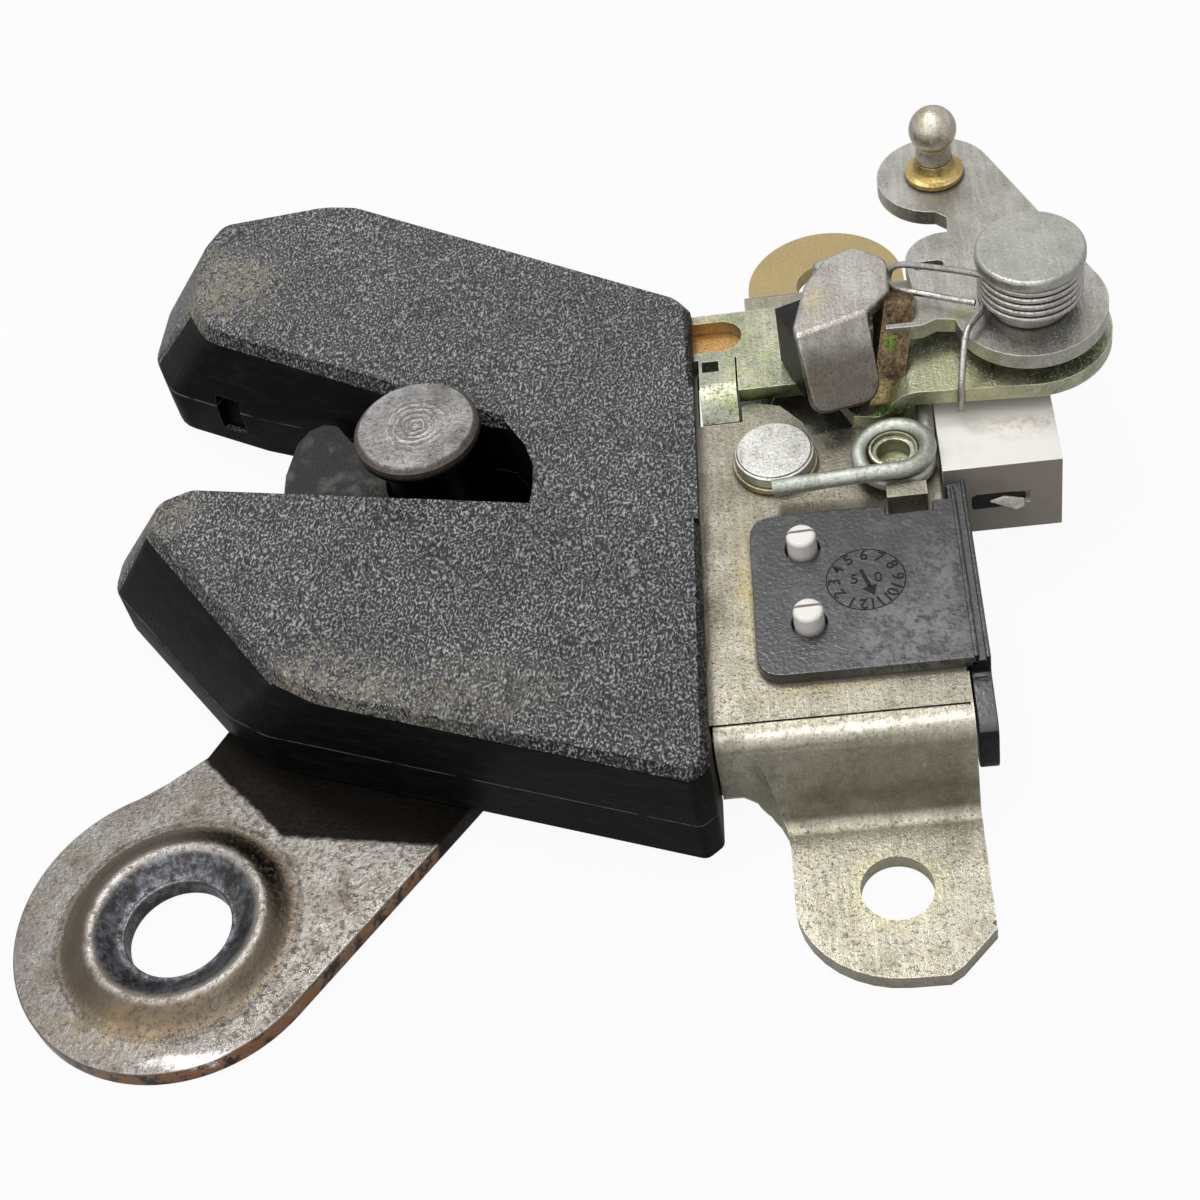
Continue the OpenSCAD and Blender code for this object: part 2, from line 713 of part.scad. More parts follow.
module lever_rivet() {
    drum_r = rivet_head_r - lever_wire - 0.5;
    color("#9c9c98")
        union() {
            disc(lever_at, lever_pivot_r, arm_top - bracket_t - 1, rivet_top - 1.4);
            disc(lever_at, lever_pivot_r + 1.6, arm_top - bracket_t - 1.2, arm_top - bracket_t);
            disc(lever_at, lever_pivot_r + 2.0, arm_top, lever_under - 0.05);
            disc(lever_at, drum_r, lever_top + 0.05, rivet_top - 1.4);
            disc(lever_at, rivet_head_r, rivet_top - 1.6, rivet_top - 0.3);
            translate([lever_at[0], lever_at[1], rivet_top - 0.31])
                cylinder(r1 = rivet_head_r, r2 = rivet_head_r - 0.4, h = 0.31);
        }
}

module lever_spring() {
    mean = rivet_head_r - lever_wire / 2 - 0.1;
    z = lever_top + 0.4 + lever_wire / 2;
    pitch = (rivet_top - 1.7 - lever_wire / 2 - z) / lever_turns;
    turns = coil(lever_at, mean, z, pitch, lever_coil, lever_coil - full * lever_turns);
    last = turns[len(turns) - 1];
    edge = [lever_at[0] - 9, 52.9];
    color("#a5a5a0")
        wire(concat([[edge[0], edge[1], arm_top - bracket_t - 1.0],
                     [edge[0], edge[1] - 0.2, arm_top + 0.4],
                     [lever_at[0] - mean - 2.4, lever_at[1] - 5.6, lever_top + 0.9]],
                    turns,
                    [[claw_at[0] + 6.4, claw_at[1] + 8.0, claw_top + lever_wire / 2 + 0.1]]),
             lever_wire);
}

module ball_stud() {
    centre = lever_top + ball_rise;
    color("#b5b0a5")
        translate([ball_at[0], ball_at[1], 0]) {
            translate([0, 0, centre])
                sphere(d = ball_d);
            translate([0, 0, lever_under - 0.8])
                cylinder(r = 1.7, h = centre - lever_under + 0.4);
            translate([0, 0, lever_under - 0.8])
                cylinder(r = 2.6, h = 0.8);
        }
}

module ball_collar() {
    color("#c9a54a")
        translate([ball_at[0], ball_at[1], lever_top])
            rotate_extrude()
                polygon([[1.75, 0], [3.2, 0], [3.4, 0.4], [2.2, 2.6], [1.75, 2.6]]);
}

module switch_cover() {
    top = base_top + switch_cover_t;
    wall_x = 10.0;
    side = [[18.6, top], [44.2, top], [44.2, 4.4], [13.8, 4.4], [11.6, 6.6], [11.6, 11.4],
            [14.2, 13.2], [18.6, 13.6]];
    outline = concat([[wall_x + 0.5, 18.6], [wall_x + 0.5, 41.4]],
                     corner([9, 41.4], [-12.4, 41.4], [-12.4, 18.6], 3),
                     corner([-12.4, 41.4], [-12.4, 18.6], [9, 18.6], 3));
    color("#1c1d1f")
        difference() {
            union() {
                plate(outline, base_top, top);
                translate([wall_x, 0, 0])
                    rotate([90, 0, 90])
                        linear_extrude(2.2)
                            polygon(side);
                // Ribs along the fold
                box(wall_x - 0.9, wall_x - 0.2, 18.6, 43.6, top - 0.2, top + 0.5);
                box(wall_x + 1.2, wall_x + 1.8, 18.6, 43.6, top - 0.2, top + 0.5);
            }
            for (p = peg_at)
                disc(p, peg_r + run, 0, 40);
            box(tab_x[0] - 0.3, tab_x[1] + 0.4, tab_y - 3.4, tab_y + 3, 0, 40);
        }
}

module switch_housing() {
    wall = 1.4;
    color("#e6e2dc")
        difference() {
            union() {
                box(-11.5, 9.3, 16.5, 41.2, back_top + slack, base_under);
                box(5.5, 9.7, 40, 46, socket[4], base_under - 1.0);
                box(5.5, socket[0] + 2, socket[2], 50.5, socket[4], base_under - 1.0);
                box(socket[0], socket[1], socket[2], socket[3], socket[4], socket[5]);
                for (p = peg_at) {
                    disc(p, peg_r, base_under - 1, base_top + switch_cover_t + 1.2);
                    translate([p[0], p[1], base_top + switch_cover_t + 1.19])
                        cylinder(r1 = peg_r, r2 = peg_r - 0.5, h = 0.8);
                }
            }
            // Slots that split the pegs
            for (p = peg_at)
                box(p[0] - 3, p[0] + 3, p[1] - 0.2, p[1] + 0.2, base_top + switch_cover_t - 1,
                    base_top + switch_cover_t + 4);
            // Socket for the plug, open to +X
            box(socket[0] + 2.4, socket[1] + 1, socket[2] + wall, socket[3] - wall,
                socket[4] + wall, socket[5] - wall);
            // Window for the plug's clip
            box(13.4, 19.6, socket[2] - 1, socket[2] + wall + 1, 9.6, 11.6);
            // Guide of the plunger
            box(-2.05, 2.05, 30, 50, pawl_under - 0.05, pawl_under + 3.05);
        }
}

module switch_plunger() {
    color("#c8463c")
        box(-2, 2, 34, 45.2, pawl_under, pawl_under + 3);
}

module switch_contacts() {
    color("#c9a54a")
        for (i = [0:2])
            box(socket[0] + 2.4, socket[0] + 8.4, 48.6 + i * 3.6, 49.4 + i * 3.6, 7.6, 8.8);
}

module striker_plate() {
    end_at = hole_at + [-0.4, 0.8];
    end_r = 18.4;
    knee = [-44.4, 16.6];
    arm = [tangent(end_at, end_r, knee, -1), knee, [-40.6, 26], [-39.8, 55.4], [-61.4, 60.4],
           [-68, 44], [-74.4, 30.6], end_at + [1.0, 22.2], end_at + [-3.4, 19.0],
           end_at + [-9.6, 15.4], end_at];
    color("#5b5148")
        difference() {
            union() {
                disc(end_at, end_r, 0, striker_t);
                plate(arm, 0, striker_t);
                disc(pin_at, 11, 0, striker_t);
                // Raised ring around the hole
                translate([hole_at[0], hole_at[1], 0])
                    rotate_extrude()
                        polygon([[striker_hole_r, 0], [13.4, 0], [13.4, striker_t],
                                 [12.2, striker_t + 0.5], [10.6, striker_t + 1.6],
                                 [9.8, striker_t + 1.8], [9.0, striker_t + 1.6],
                                 [7.6, striker_t + 0.6], [striker_hole_r + 0.5, striker_t],
                                 [striker_hole_r, striker_t]]);
            }
            disc(hole_at, striker_hole_r, -1, 10);
            disc(pin_at, pin_r - 1 + run, -1, 10);
        }
}

module striker_pin() {
    color("#8a8078")
        union() {
            disc(pin_at, pin_r - 1, 0, striker_t + eps);
            disc(pin_at, pin_r, striker_t, pin_top - 2.4);
            translate([pin_at[0], pin_at[1], pin_top - 2.8])
                cylinder(r1 = pin_head_r - 0.5, r2 = pin_head_r, h = 0.8);
            disc(pin_at, pin_head_r, pin_top - 2.01, pin_top - 0.6);
            translate([pin_at[0], pin_at[1], pin_top - 0.61])
                cylinder(r1 = pin_head_r, r2 = pin_head_r - 0.6, h = 0.61);
        }
}

base_plate();
ear_lower();
ear_upper();
back_plate();
cover();
catch();
catch_pivot();
catch_spring();
spring_post();
pawl();
pawl_pivot();
pivot_washer();
pawl_spring();
spring_boss();
claw();
claw_insert();
lever_bracket();
bracket_rivets();
release_lever();
lever_rivet();
lever_spring();
ball_stud();
ball_collar();
switch_cover();
switch_housing();
switch_plunger();
switch_contacts();
striker_plate();
striker_pin();
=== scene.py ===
# %% [markdown]
# # A boot lid lock, dressed for its picture
# The CAD model gives every solid of the lock at its true size. This lesson loads
# it, gives each solid soft edges and a finish, and adds the small things that a
# solid model leaves out: round spring wire, moulded marks, dust and rust.

# %% Load the fixed frame
import json
import math

import bpy
from mathutils import Matrix, Vector


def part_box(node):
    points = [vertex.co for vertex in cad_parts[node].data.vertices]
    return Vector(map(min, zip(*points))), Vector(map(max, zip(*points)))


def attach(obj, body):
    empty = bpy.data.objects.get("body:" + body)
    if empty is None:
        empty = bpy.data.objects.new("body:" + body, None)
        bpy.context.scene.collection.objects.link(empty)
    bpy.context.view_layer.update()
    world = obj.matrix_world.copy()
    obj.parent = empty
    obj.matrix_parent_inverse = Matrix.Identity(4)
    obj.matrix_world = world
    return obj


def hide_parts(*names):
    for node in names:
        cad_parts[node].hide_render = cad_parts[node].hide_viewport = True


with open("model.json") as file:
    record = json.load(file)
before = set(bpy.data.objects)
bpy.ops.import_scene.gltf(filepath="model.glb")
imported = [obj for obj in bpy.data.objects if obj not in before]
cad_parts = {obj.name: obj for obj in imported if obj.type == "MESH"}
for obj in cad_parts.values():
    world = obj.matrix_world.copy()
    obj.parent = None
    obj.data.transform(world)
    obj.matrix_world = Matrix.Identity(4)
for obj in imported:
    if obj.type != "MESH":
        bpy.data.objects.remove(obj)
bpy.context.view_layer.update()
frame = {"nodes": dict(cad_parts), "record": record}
MM = 0.001
print("CAD nodes:", len(frame["nodes"]))

# %% [markdown]
# ## The camera
# The photograph was taken from close by, about 24 cm away, so near parts look
# larger than far ones. The camera stands where the holes and round heads in the
# photograph say, and leans 13.5 degrees to one side.

# %% Place the camera
TURN, LEAN = math.radians(10.2), math.radians(-13.5)
BACK = Vector((0.1159, -0.6444, 0.7559)).normalized()
TARGET = Vector((-29.56, 32.87, 14.5)) * MM
DISTANCE = 0.24
side = Vector((math.cos(TURN), math.sin(TURN), 0))
up = BACK.cross(side)
across = side * math.cos(LEAN) + up * math.sin(LEAN)
upwards = up * math.cos(LEAN) - side * math.sin(LEAN)
bpy.ops.object.camera_add(location=TARGET + BACK * DISTANCE)
camera = bpy.context.object
camera.data.lens = 64.41
camera.data.sensor_width = 36
camera.data.clip_start = 0.01
camera.rotation_mode = "QUATERNION"
camera.rotation_quaternion = Matrix((across, upwards, BACK)).transposed().to_quaternion()
bpy.context.scene.camera = camera
print("camera at", [round(value / MM) for value in camera.location], "mm")

# %% [markdown]
# ## Shader arithmetic
# A finish is a recipe of numbers that change over the surface. A small class
# wraps one socket, so that a recipe reads like a formula. A second class holds
# a material and adds any node by its type. Sizes of patterns are millimetres.

# %% A socket with arithmetic
class Wire:
    """One value in a material. Arithmetic on it adds Math nodes."""

    def __init__(self, finish, socket):
        self.finish = finish
        self.socket = socket

    def math(self, operation, *values):
        return self.finish.node("ShaderNodeMath", {"operation": operation}, values)

    def __add__(self, other):
        return self.math("ADD", self, other)

    def __sub__(self, other):
        return self.math("SUBTRACT", self, other)

    def __rsub__(self, other):
        return self.math("SUBTRACT", other, self)

    def __mul__(self, other):
        return self.math("MULTIPLY", self, other)

    __radd__ = __add__
    __rmul__ = __mul__


# %% A finish and the nodes it is made of
FINISHES = {}
FROM_AXIS = (1, 1, 0)  # leaves out the height, so a distance is one from an upright axis


class Finish:
    """A material with a Principled shader, and short ways to add nodes."""

    def __init__(self, name):
        self.material = FINISHES[name] = bpy.data.materials.new(name)
        self.material.use_nodes = True
        self.tree = self.material.node_tree
        self.shader = self.tree.nodes["Principled BSDF"]
        place = self.node("ShaderNodeTexCoord", output="Object")
        self.here = self.node("ShaderNodeVectorMath", {"operation": "SCALE"},
                              {"Vector": place, "Scale": 1 / MM})
        self.facing = self.node("ShaderNodeTexCoord", output="Normal")

    def node(self, kind, settings=None, inputs=(), output=0):
        """Adds a node: its settings first, then the values or links of its sockets."""
        made = self.tree.nodes.new(kind)
        for name, value in (settings or {}).items():
            setattr(made, name, value)
        pairs = inputs.items() if isinstance(inputs, dict) else enumerate(inputs)
        for name, value in pairs:
            self.feed(made.inputs[name], value)
        return Wire(self, made.outputs[output])

    def feed(self, socket, value):
        if isinstance(value, Wire):
            self.tree.links.new(value.socket, socket)
        elif hasattr(socket.default_value, "__len__") and len(value) == 3:
            socket.default_value = (*value, 1) if socket.type == "RGBA" else value
        else:
            socket.default_value = value

    def part(self, axis, vector=None):
        """One of X, Y and Z of the place on the piece, or of another vector."""
        return self.node("ShaderNodeSeparateXYZ", None, [vector or self.here], axis)

    def stretched(self, factors):
        """The place on the piece, so that a pattern grows longer where a factor is low."""
        return self.node("ShaderNodeVectorMath", {"operation": "MULTIPLY"},
                         [self.here, factors])

    def noise(self, size, detail=3.0, rough=0.55, at=None, seed=0.0):
        """Clouds of a size in millimetres; the seed moves to another spot of them."""
        place = self.node("ShaderNodeVectorMath", {"operation": "ADD"},
                          [at or self.here, (seed, seed * 0.7, seed * 1.3)])
        return self.node("ShaderNodeTexNoise", None,
                         {"Vector": place, "Scale": 1 / size, "Detail": detail,
                          "Roughness": rough})

    def folds(self, size, at):
        """0 on the lines between cells of a size, as leather folds."""
        return self.node("ShaderNodeTexVoronoi", {"feature": "DISTANCE_TO_EDGE"},
                         {"Vector": at, "Scale": 1 / size}, "Distance")

    def step(self, value, low, high, to_low=0.0, to_high=1.0):
        """A soft step from one value to another, while the input goes from low to high."""
        return self.node("ShaderNodeMapRange", {"interpolation_type": "SMOOTHSTEP"},
                         {"Value": value, "From Min": low, "From Max": high,
                          "To Min": to_low, "To Max": to_high})

    def near(self, point, radius, soft, squeeze=(1, 1, 1)):
        """1 close to a point, 0 away from it, with a ragged edge."""
        ragged = self.away(point, squeeze) + (self.noise(soft, 4) - 0.5) * (soft * 1.2)
        return self.step(ragged, radius + soft / 2, radius - soft / 2)

    def mix(self, mask, dark, bright):
        """The first colour where the mask is 0, the second where it is 1."""
        made = self.tree.nodes.new("ShaderNodeMix")
        made.data_type = "RGBA"
        for socket, value in ((made.inputs[0], mask), (made.inputs[6], dark),
                              (made.inputs[7], bright)):
            self.feed(socket, value)
        return Wire(self, made.outputs[2])

    def away(self, point, squeeze=(1, 1, 1)):
        """Distance from a point in millimetres, or from its axis with FROM_AXIS."""
        gap = self.node("ShaderNodeVectorMath", {"operation": "SUBTRACT"},
                        [self.here, point])
        gap = self.node("ShaderNodeVectorMath", {"operation": "MULTIPLY"}, [gap, squeeze])
        return self.node("ShaderNodeVectorMath", {"operation": "LENGTH"}, [gap], "Value")

    def edge(self, reach, low=0.02, high=0.22):
        """1 on the edges, where a rounded normal leaves the face's own."""
        soft = self.node("ShaderNodeBevel", None, {"Radius": reach * MM})
        own = self.node("ShaderNodeNewGeometry", output="Normal")
        same = self.node("ShaderNodeVectorMath", {"operation": "DOT_PRODUCT"},
                         [soft, own], "Value")
        return self.step(1.0 - same, low, high)

    def crevice(self, reach, low=0.80, high=0.35):
        """1 where other surfaces stand close by, for painted shade in corners and between parts.
        """
        seen = self.node("ShaderNodeAmbientOcclusion", {"samples": 8},
                         {"Distance": reach * MM}, "AO")
        return self.step(seen, low, high)

    def larger(self, one, other):
        return one.math("MAXIMUM", one, other)

    def relief(self, height, depth):
        """Bumps of the given depth in millimetres."""
        return self.node("ShaderNodeBump", None,
                         {"Height": height, "Distance": depth * MM, "Strength": 1.0})

    def set(self, **values):
        """Feeds the Principled shader, each socket by its name."""
        for name, value in values.items():
            self.feed(self.shader.inputs[name.replace("_", " ")], value)


# %% [markdown]
# ## Plated and bare steel
# Zinc on pressed steel is never even: it has faint rolling lines, cloudy spots
# where the passivation took differently, brown dirt in clouds, painted shade in
# the corners and bright worn edges. One recipe with a few numbers makes the plated
# pieces related but not equal. Spots that the real piece has in one place, and a
# few painted highlights and painted shade, are listed: point, radius, softness,
# squeeze along X, Y and Z, colour and share.


# %% Recipe for plated steel
SOIL_AND_SHADE, DIRT = (0.055, 0.038, 0.02), (0.067, 0.044, 0.026)
SPECK_YELLOW = (0.374, 0.284, 0.089)


def shaded(color, factor):
    """The same hue, lighter or darker."""
    return tuple(min(1.0, channel * factor) for channel in color)


def plated(name, bright, dark, tint, amount, rough=0.36, dirt=0.25, seed=0.0, scratch=0.3,
           worn=0.6, spots=(), grain=0.06):
    """Metal: clouds, patches, scratches, pits, worn edges, soil, painted corner shade, spots."""
    f = Finish(name)
    cloud = f.step(f.noise(5, 6, 0.66, seed=seed), 0.36, 0.64)
    patch = f.step(f.noise(2.6, 6, 0.7, seed=seed + 31), 0.48, 0.64)
    lines = f.noise(1.0, 4, 0.7, f.stretched((1.6, 0.14, 1.0)), seed)
    color = f.mix(cloud, dark, bright)
    color = f.mix(patch * amount, color, tint)
    light = shaded(bright, 1.8)
    color = f.mix(f.step(lines, 0.40, 0.75, 0.0, scratch), color, light)
    fleck = f.step(f.noise(0.40, 4, 0.75, seed=seed + 19), 0.54, 0.66)
    color = f.mix(fleck * 0.3, color, light)
    pit = f.step(f.noise(0.35, 3, 0.7, seed=seed + 71), 0.58, 0.70)
    color = f.mix(pit * 0.55, color, shaded(dark, 0.35))
    color = f.mix(f.edge(0.3) * worn, color, light)
    specks = f.step(f.noise(0.6, 5, 0.74, seed=seed + 7), 0.58, 0.68)
    grime = f.step(f.noise(9, 7, 0.75, seed=seed + 53), 0.52, 0.68)
    # Painted shade: where other surfaces stand close by, the corners take the soil's colour.
    corner = f.crevice(1.0) * f.step(f.noise(1.4, 5, 0.7, seed=seed + 2), 0.25, 0.5, 0.45, 1)
    soil_and_shade = f.larger(specks * 0.35 + grime * dirt, corner * 0.9)
    color = f.mix(soil_and_shade, color, SOIL_AND_SHADE)
    for point, radius, soft, squeeze, paint, share in spots:
        color = f.mix(f.near(point, radius, soft, squeeze) * share, color, paint)
    shine = f.noise(2.4, 4, 0.6, seed=seed + 3) * 0.2 + (rough - 0.1) + soil_and_shade * 0.3
    height = f.noise(0.35, 3, 0.6, seed=seed) * 0.6 + lines * 0.5 - soil_and_shade * 0.6 - pit * 0.5
    f.set(Base_Color=color, Metallic=1.0 - soil_and_shade * 0.7, Roughness=shine,
          Normal=f.relief(height, grain))


# %% Make the plated finishes
plated("zinc_plate", (0.279, 0.260, 0.213), (0.201, 0.190, 0.148), (0.247, 0.224, 0.160), 0.5,
       dirt=0.3,
       spots=[((0, 0, 2), 4.5, 4, (1, 1, 1), (0.36, 0.34, 0.20), 0.6),
              # The next spot is painted shade in the fold of the lower ear's slope.
              ((-2, 9.5, 6), 1.0, 2.5, (0.08, 1, 1), (0.13, 0.115, 0.085), 0.6),
              ((-16.5, 72, 14.5), 3, 1.5, (0.5, 1, 1), (0.50, 0.29, 0.11), 0.9),
              # The next two are a painted highlight along the plate's bend and painted shade below
              # it.
              ((-1.8, 12.3, 14.4), 0.5, 1.2, (0.04, 1, 1), (0.80, 0.78, 0.70), 0.8),
              ((-1.8, 10.5, 13.4), 0.5, 1.4, (0.04, 1, 1), (0.11, 0.10, 0.08), 0.7),
              ((-17, 31, 14), 1.2, 5, (1, 0.35, 1), DIRT, 0.5),
              ((-14.5, 46, 14), 0.8, 4, (1, 0.6, 1), DIRT, 0.5),
              ((-13.2, 33, 14), 0.6, 2.5, (1, 0.12, 1), SPECK_YELLOW, 0.55),
              ((-6, 17.6, 14), 0.5, 2, (0.1, 1, 1), SPECK_YELLOW, 0.35),
              ((-1, 94.5, 2), 14, 5, (1, 1, 0.5), (0.374, 0.284, 0.127), 0.85)])
plated("green_chromate", (0.37, 0.37, 0.28), (0.23, 0.235, 0.165), (0.28, 0.33, 0.13), 0.6,
       dirt=0.3, seed=12, worn=0.8, grain=0.08,
       spots=[((14, 56, 20), 5, 6, (1, 1, 1), (0.46, 0.45, 0.27), 0.6),
              ((-10, 61.5, 14.5), 1.5, 3, (0.4, 1, 1), (0.10, 0.17, 0.02), 0.85),
              ((5, 56.5, 17), 2.5, 3, (1, 1, 1), (0.15, 0.26, 0.05), 0.8),
              # The next two are painted shade where the tongue dips into the opening and over a
              # dark gap beside it.
              ((-15, 60, 12.5), 2.5, 4, (1, 1, 1), (0.12, 0.125, 0.12), 0.9),
              ((-16, 66, 16.5), 1.5, 3, (1, 0.6, 1), (0.20, 0.21, 0.20), 0.8),
              ((-17, 74, 15), 1, 3, (0.5, 1, 1), (0.45, 0.27, 0.10), 0.7)])
plated("yellow_chromate", (0.46, 0.42, 0.29), (0.26, 0.205, 0.10), (0.34, 0.27, 0.10), 0.7,
       seed=5)
plated("rivet_zinc", (0.493, 0.493, 0.463), (0.389, 0.389, 0.359), (0.224, 0.187, 0.134), 0.35,
       rough=0.45, dirt=0.2, seed=9, scratch=0.15)
plated("lever_zinc", (0.342, 0.336, 0.310), (0.263, 0.257, 0.231), (0.275, 0.263, 0.204), 0.35,
       rough=0.4, dirt=0.1, seed=20,
       spots=[((13.5, 61.6, 24), 0.8, 2.4, (1, 1, 1), (0.359, 0.374, 0.089), 0.8)])
plated("claw_steel", (0.368, 0.351, 0.327), (0.277, 0.260, 0.235), (0.251, 0.217, 0.168), 0.3,
       rough=0.36, dirt=0.15, seed=26, worn=1.0, grain=0.09,
       # The first spot darkens the claw's front flap: a brown stain and painted shade on that
       # face.
       spots=[((-0.5, 55.8, 20.5), 5, 4, (0.7, 1, 0.9), (0.055, 0.043, 0.028), 0.75),
              ((-3.5, 56.5, 19.5), 0.8, 3, (1, 1, 0.4), (0.20, 0.17, 0.12), 0.6),
              ((-2.6, 64.5, 27), 0.8, 2.6, (1, 0.5, 1), (0.50, 0.42, 0.24), 0.5)])
plated("spring_wire", (0.37, 0.385, 0.35), (0.27, 0.285, 0.25), (0.27, 0.27, 0.19), 0.3,
       rough=0.52, dirt=0.15, seed=40, worn=0.3)
plated("thin_wire", (0.374, 0.367, 0.352), (0.269, 0.254, 0.239), (0.269, 0.202, 0.164), 0.3,
       rough=0.28, dirt=0.05, seed=44)
plated("pawl_steel", (0.313, 0.313, 0.284), (0.210, 0.202, 0.180), (0.180, 0.143, 0.097), 0.4,
       rough=0.36, seed=61)
plated("rivet_steel", (0.360, 0.360, 0.327), (0.292, 0.292, 0.267), (0.284, 0.267, 0.223), 0.3,
       rough=0.36, dirt=0.08, seed=70, scratch=0.15)
plated("ball_steel", (0.413, 0.378, 0.327), (0.292, 0.267, 0.223), (0.344, 0.258, 0.154), 0.5,
       rough=0.32, dirt=0.15, seed=82)
plated("brass_collar", (0.449, 0.329, 0.134), (0.299, 0.210, 0.074), (0.224, 0.143, 0.052), 0.5,
       rough=0.3, dirt=0.25, seed=88)
plated("contact_brass", (0.538, 0.419, 0.194), (0.449, 0.329, 0.134), (0.374, 0.262, 0.104), 0.3,
       seed=90)
plated("lug_rust", (0.15, 0.11, 0.06), (0.03, 0.02, 0.012), (0.05, 0.03, 0.016), 0.8,
       rough=0.5, seed=33, grain=0.2,
       spots=[((3.4, 57.2, 18.6), 1.6, 2, (1, 1, 1), (0.30, 0.24, 0.12), 0.8),
              ((5.6, 60.6, 22.5), 0.9, 1.2, (1, 1, 1), (0.10, 0.24, 0.02), 0.9)])
plated("rusty_steel", (0.224, 0.143, 0.074), (0.112, 0.067, 0.037), (0.254, 0.127, 0.044), 0.8,
       rough=0.6, dirt=0.6, seed=95)
print("plated finishes:", ", ".join(FINISHES))

# %% [markdown]
# ## The striker
# The striker is older than the lock: dark steel, brown where water stood in the
# dished ring, orange on the cut edge. The pin's head keeps the rings that the
# lathe left, worn by the catch. Both start from one recipe of steel with brown
# patches and pits. It leaves its results open, so that each piece adds its own
# marks before the shader is fed.


# %% Recipe for old steel
def rusted(name, steel, dark, rust, amount, seed, rough=0.4):
    """Cloudy steel with brown patches and pits, its results left open."""
    f = Finish(name)
    cloud = f.step(f.noise(4, 7, 0.7, seed=seed), 0.30, 0.70)
    color = f.mix(cloud, dark, steel)
    pits = f.step(f.noise(0.6, 4, 0.75, seed=seed + 5), 0.54, 0.66)
    brown = f.step(f.noise(3, 7, 0.72, seed=seed + 11), 0.52, 0.64)
    f.rusty = brown * amount + pits * 0.4
    f.height = f.noise(0.5, 4, 0.65, seed=seed) - pits * 0.5
    f.shine = f.noise(3, 4, 0.6, seed=seed) * 0.2 + (rough - 0.1)
    f.color = f.mix(f.rusty, color, rust)
    return f


def coat(f, depth=0.06):
    """Feeds the shader with what the recipe and the marks came to."""
    f.set(Base_Color=f.color, Metallic=1.0 - f.rusty * 0.6, Roughness=f.shine + f.rusty * 0.25,
          Normal=f.relief(f.height, depth))


# %% The striker: a ring round its hole, with a painted highlight on the crest
RING = (-78.1, 2.2, 0)
f = rusted("striker_steel", (0.20, 0.19, 0.175), (0.125, 0.113, 0.098), (0.10, 0.066, 0.035), 0.5,
           3, rough=0.30)
away = f.away(RING, FROM_AXIS)
ragged = away + (f.noise(1.6, 5, 0.7) - 0.5) * 1.6
f.color = f.mix(f.step(ragged, 13.9, 13.2) * f.step(ragged, 9.6, 10.4) * 0.75, f.color,
                (0.075, 0.055, 0.035))
f.color = f.mix(f.step(ragged, 13.5, 13.8) * f.step(ragged, 14.2, 14.0) * 0.45, f.color,
                (0.02, 0.016, 0.012))
inside = f.step(away, 9.3, 8.7)
marks = f.step(f.noise(1.4, 6, 0.75, seed=12), 0.42, 0.62)
f.color = f.mix(inside * 0.9, f.color, f.mix(marks, (0.022, 0.021, 0.022), (0.10, 0.105, 0.125)))
# A painted highlight on the ring's crest.
crest = f.step(away, 9.2, 9.7) * f.step(away, 10.6, 10.0)
f.color = f.mix(crest * f.step(f.noise(2, 4), 0.35, 0.65) * 0.5, f.color, (0.30, 0.285, 0.26))
ochre = f.near((-82, -9.5, 2), 2, 4, (0.3, 1, 1)) * f.step(f.noise(1.5, 5, 0.7), 0.35, 0.6)
f.color = f.mix(ochre * 0.5, f.color, (0.22, 0.155, 0.075))
# A painted highlight along the striker's lower edge.
f.color = f.mix(f.near((-74, -14.2, 2), 0.8, 1.4, (0.18, 1, 1)), f.color, (0.80, 0.79, 0.77))
f.color = f.mix(f.edge(0.5) * 0.7, f.color, (0.42, 0.40, 0.36))
print("striker: ring round", RING[:2])

# %% The striker: rusty cut edges, and the cover's painted shadow in the corner under it
level = f.part("Z", f.facing)
level = level.math("ABSOLUTE", level)
rim = f.step(level, 0.5, 0.2) * f.step(away, 7, 8)
f.color = f.mix(rim * 0.9 * f.step(f.noise(1.2, 6, 0.75), 0.36, 0.5), f.color,
                (0.22, 0.095, 0.032))
f.color = f.mix(rim * f.step(f.noise(2.5, 6, 0.75, seed=9), 0.50, 0.56), f.color,
                (0.02, 0.015, 0.012))
# Painted shadow of the cover: the striker's corner under it is painted nearly black, its edges
# given by two lines.
SHADOW_CORNER, LINES = (-67.5, 13.0), ((0.745, 0.667), (0.165, 0.986))
x, y = f.part("X") - SHADOW_CORNER[0], f.part("Y") - SHADOW_CORNER[1]
one, other = (x * along + y * over for along, over in LINES)
cover_shadow = f.step(one.math("MINIMUM", one, other) + f.noise(1.5, 5, 0.7), 0.2, 0.9)
f.color = f.mix(cover_shadow * 0.97, f.color, (0.005, 0.004, 0.003))
f.rusty = f.rusty * (1.0 - cover_shadow)
f.shine = f.shine + cover_shadow * 0.2
coat(f)
print("striker: grease behind", SHADOW_CORNER)

# %% The pin: turned rings on its head, and painted shadow on the shank
PIN, HEAD_LOW = (-50.5, 56.9, 0), 19.4
f = rusted("pin_steel", (0.25, 0.245, 0.24), (0.12, 0.115, 0.11), (0.06, 0.038, 0.028), 0.3,
           17, rough=0.36)
away = f.away(PIN, FROM_AXIS)
rings = f.node("ShaderNodeMath", {"operation": "SINE"},
               [away * 7.5 + f.noise(2.5, 5, 0.7) * 14.0])
worn = f.step(f.noise(2.2, 5, 0.7, seed=21), 0.42, 0.6)
f.height = f.height + rings * f.step(away, 5.5, 1.0, 0.0, 0.45)
f.color = f.mix(f.step(rings, 0.5, 1.0) * worn * f.step(away, 5.5, 2.0, 0.0, 0.5), f.color,
                (0.60, 0.59, 0.57))
rim = f.step(away + f.noise(1.5, 5, 0.7) * 1.2, 7.3, 7.8)
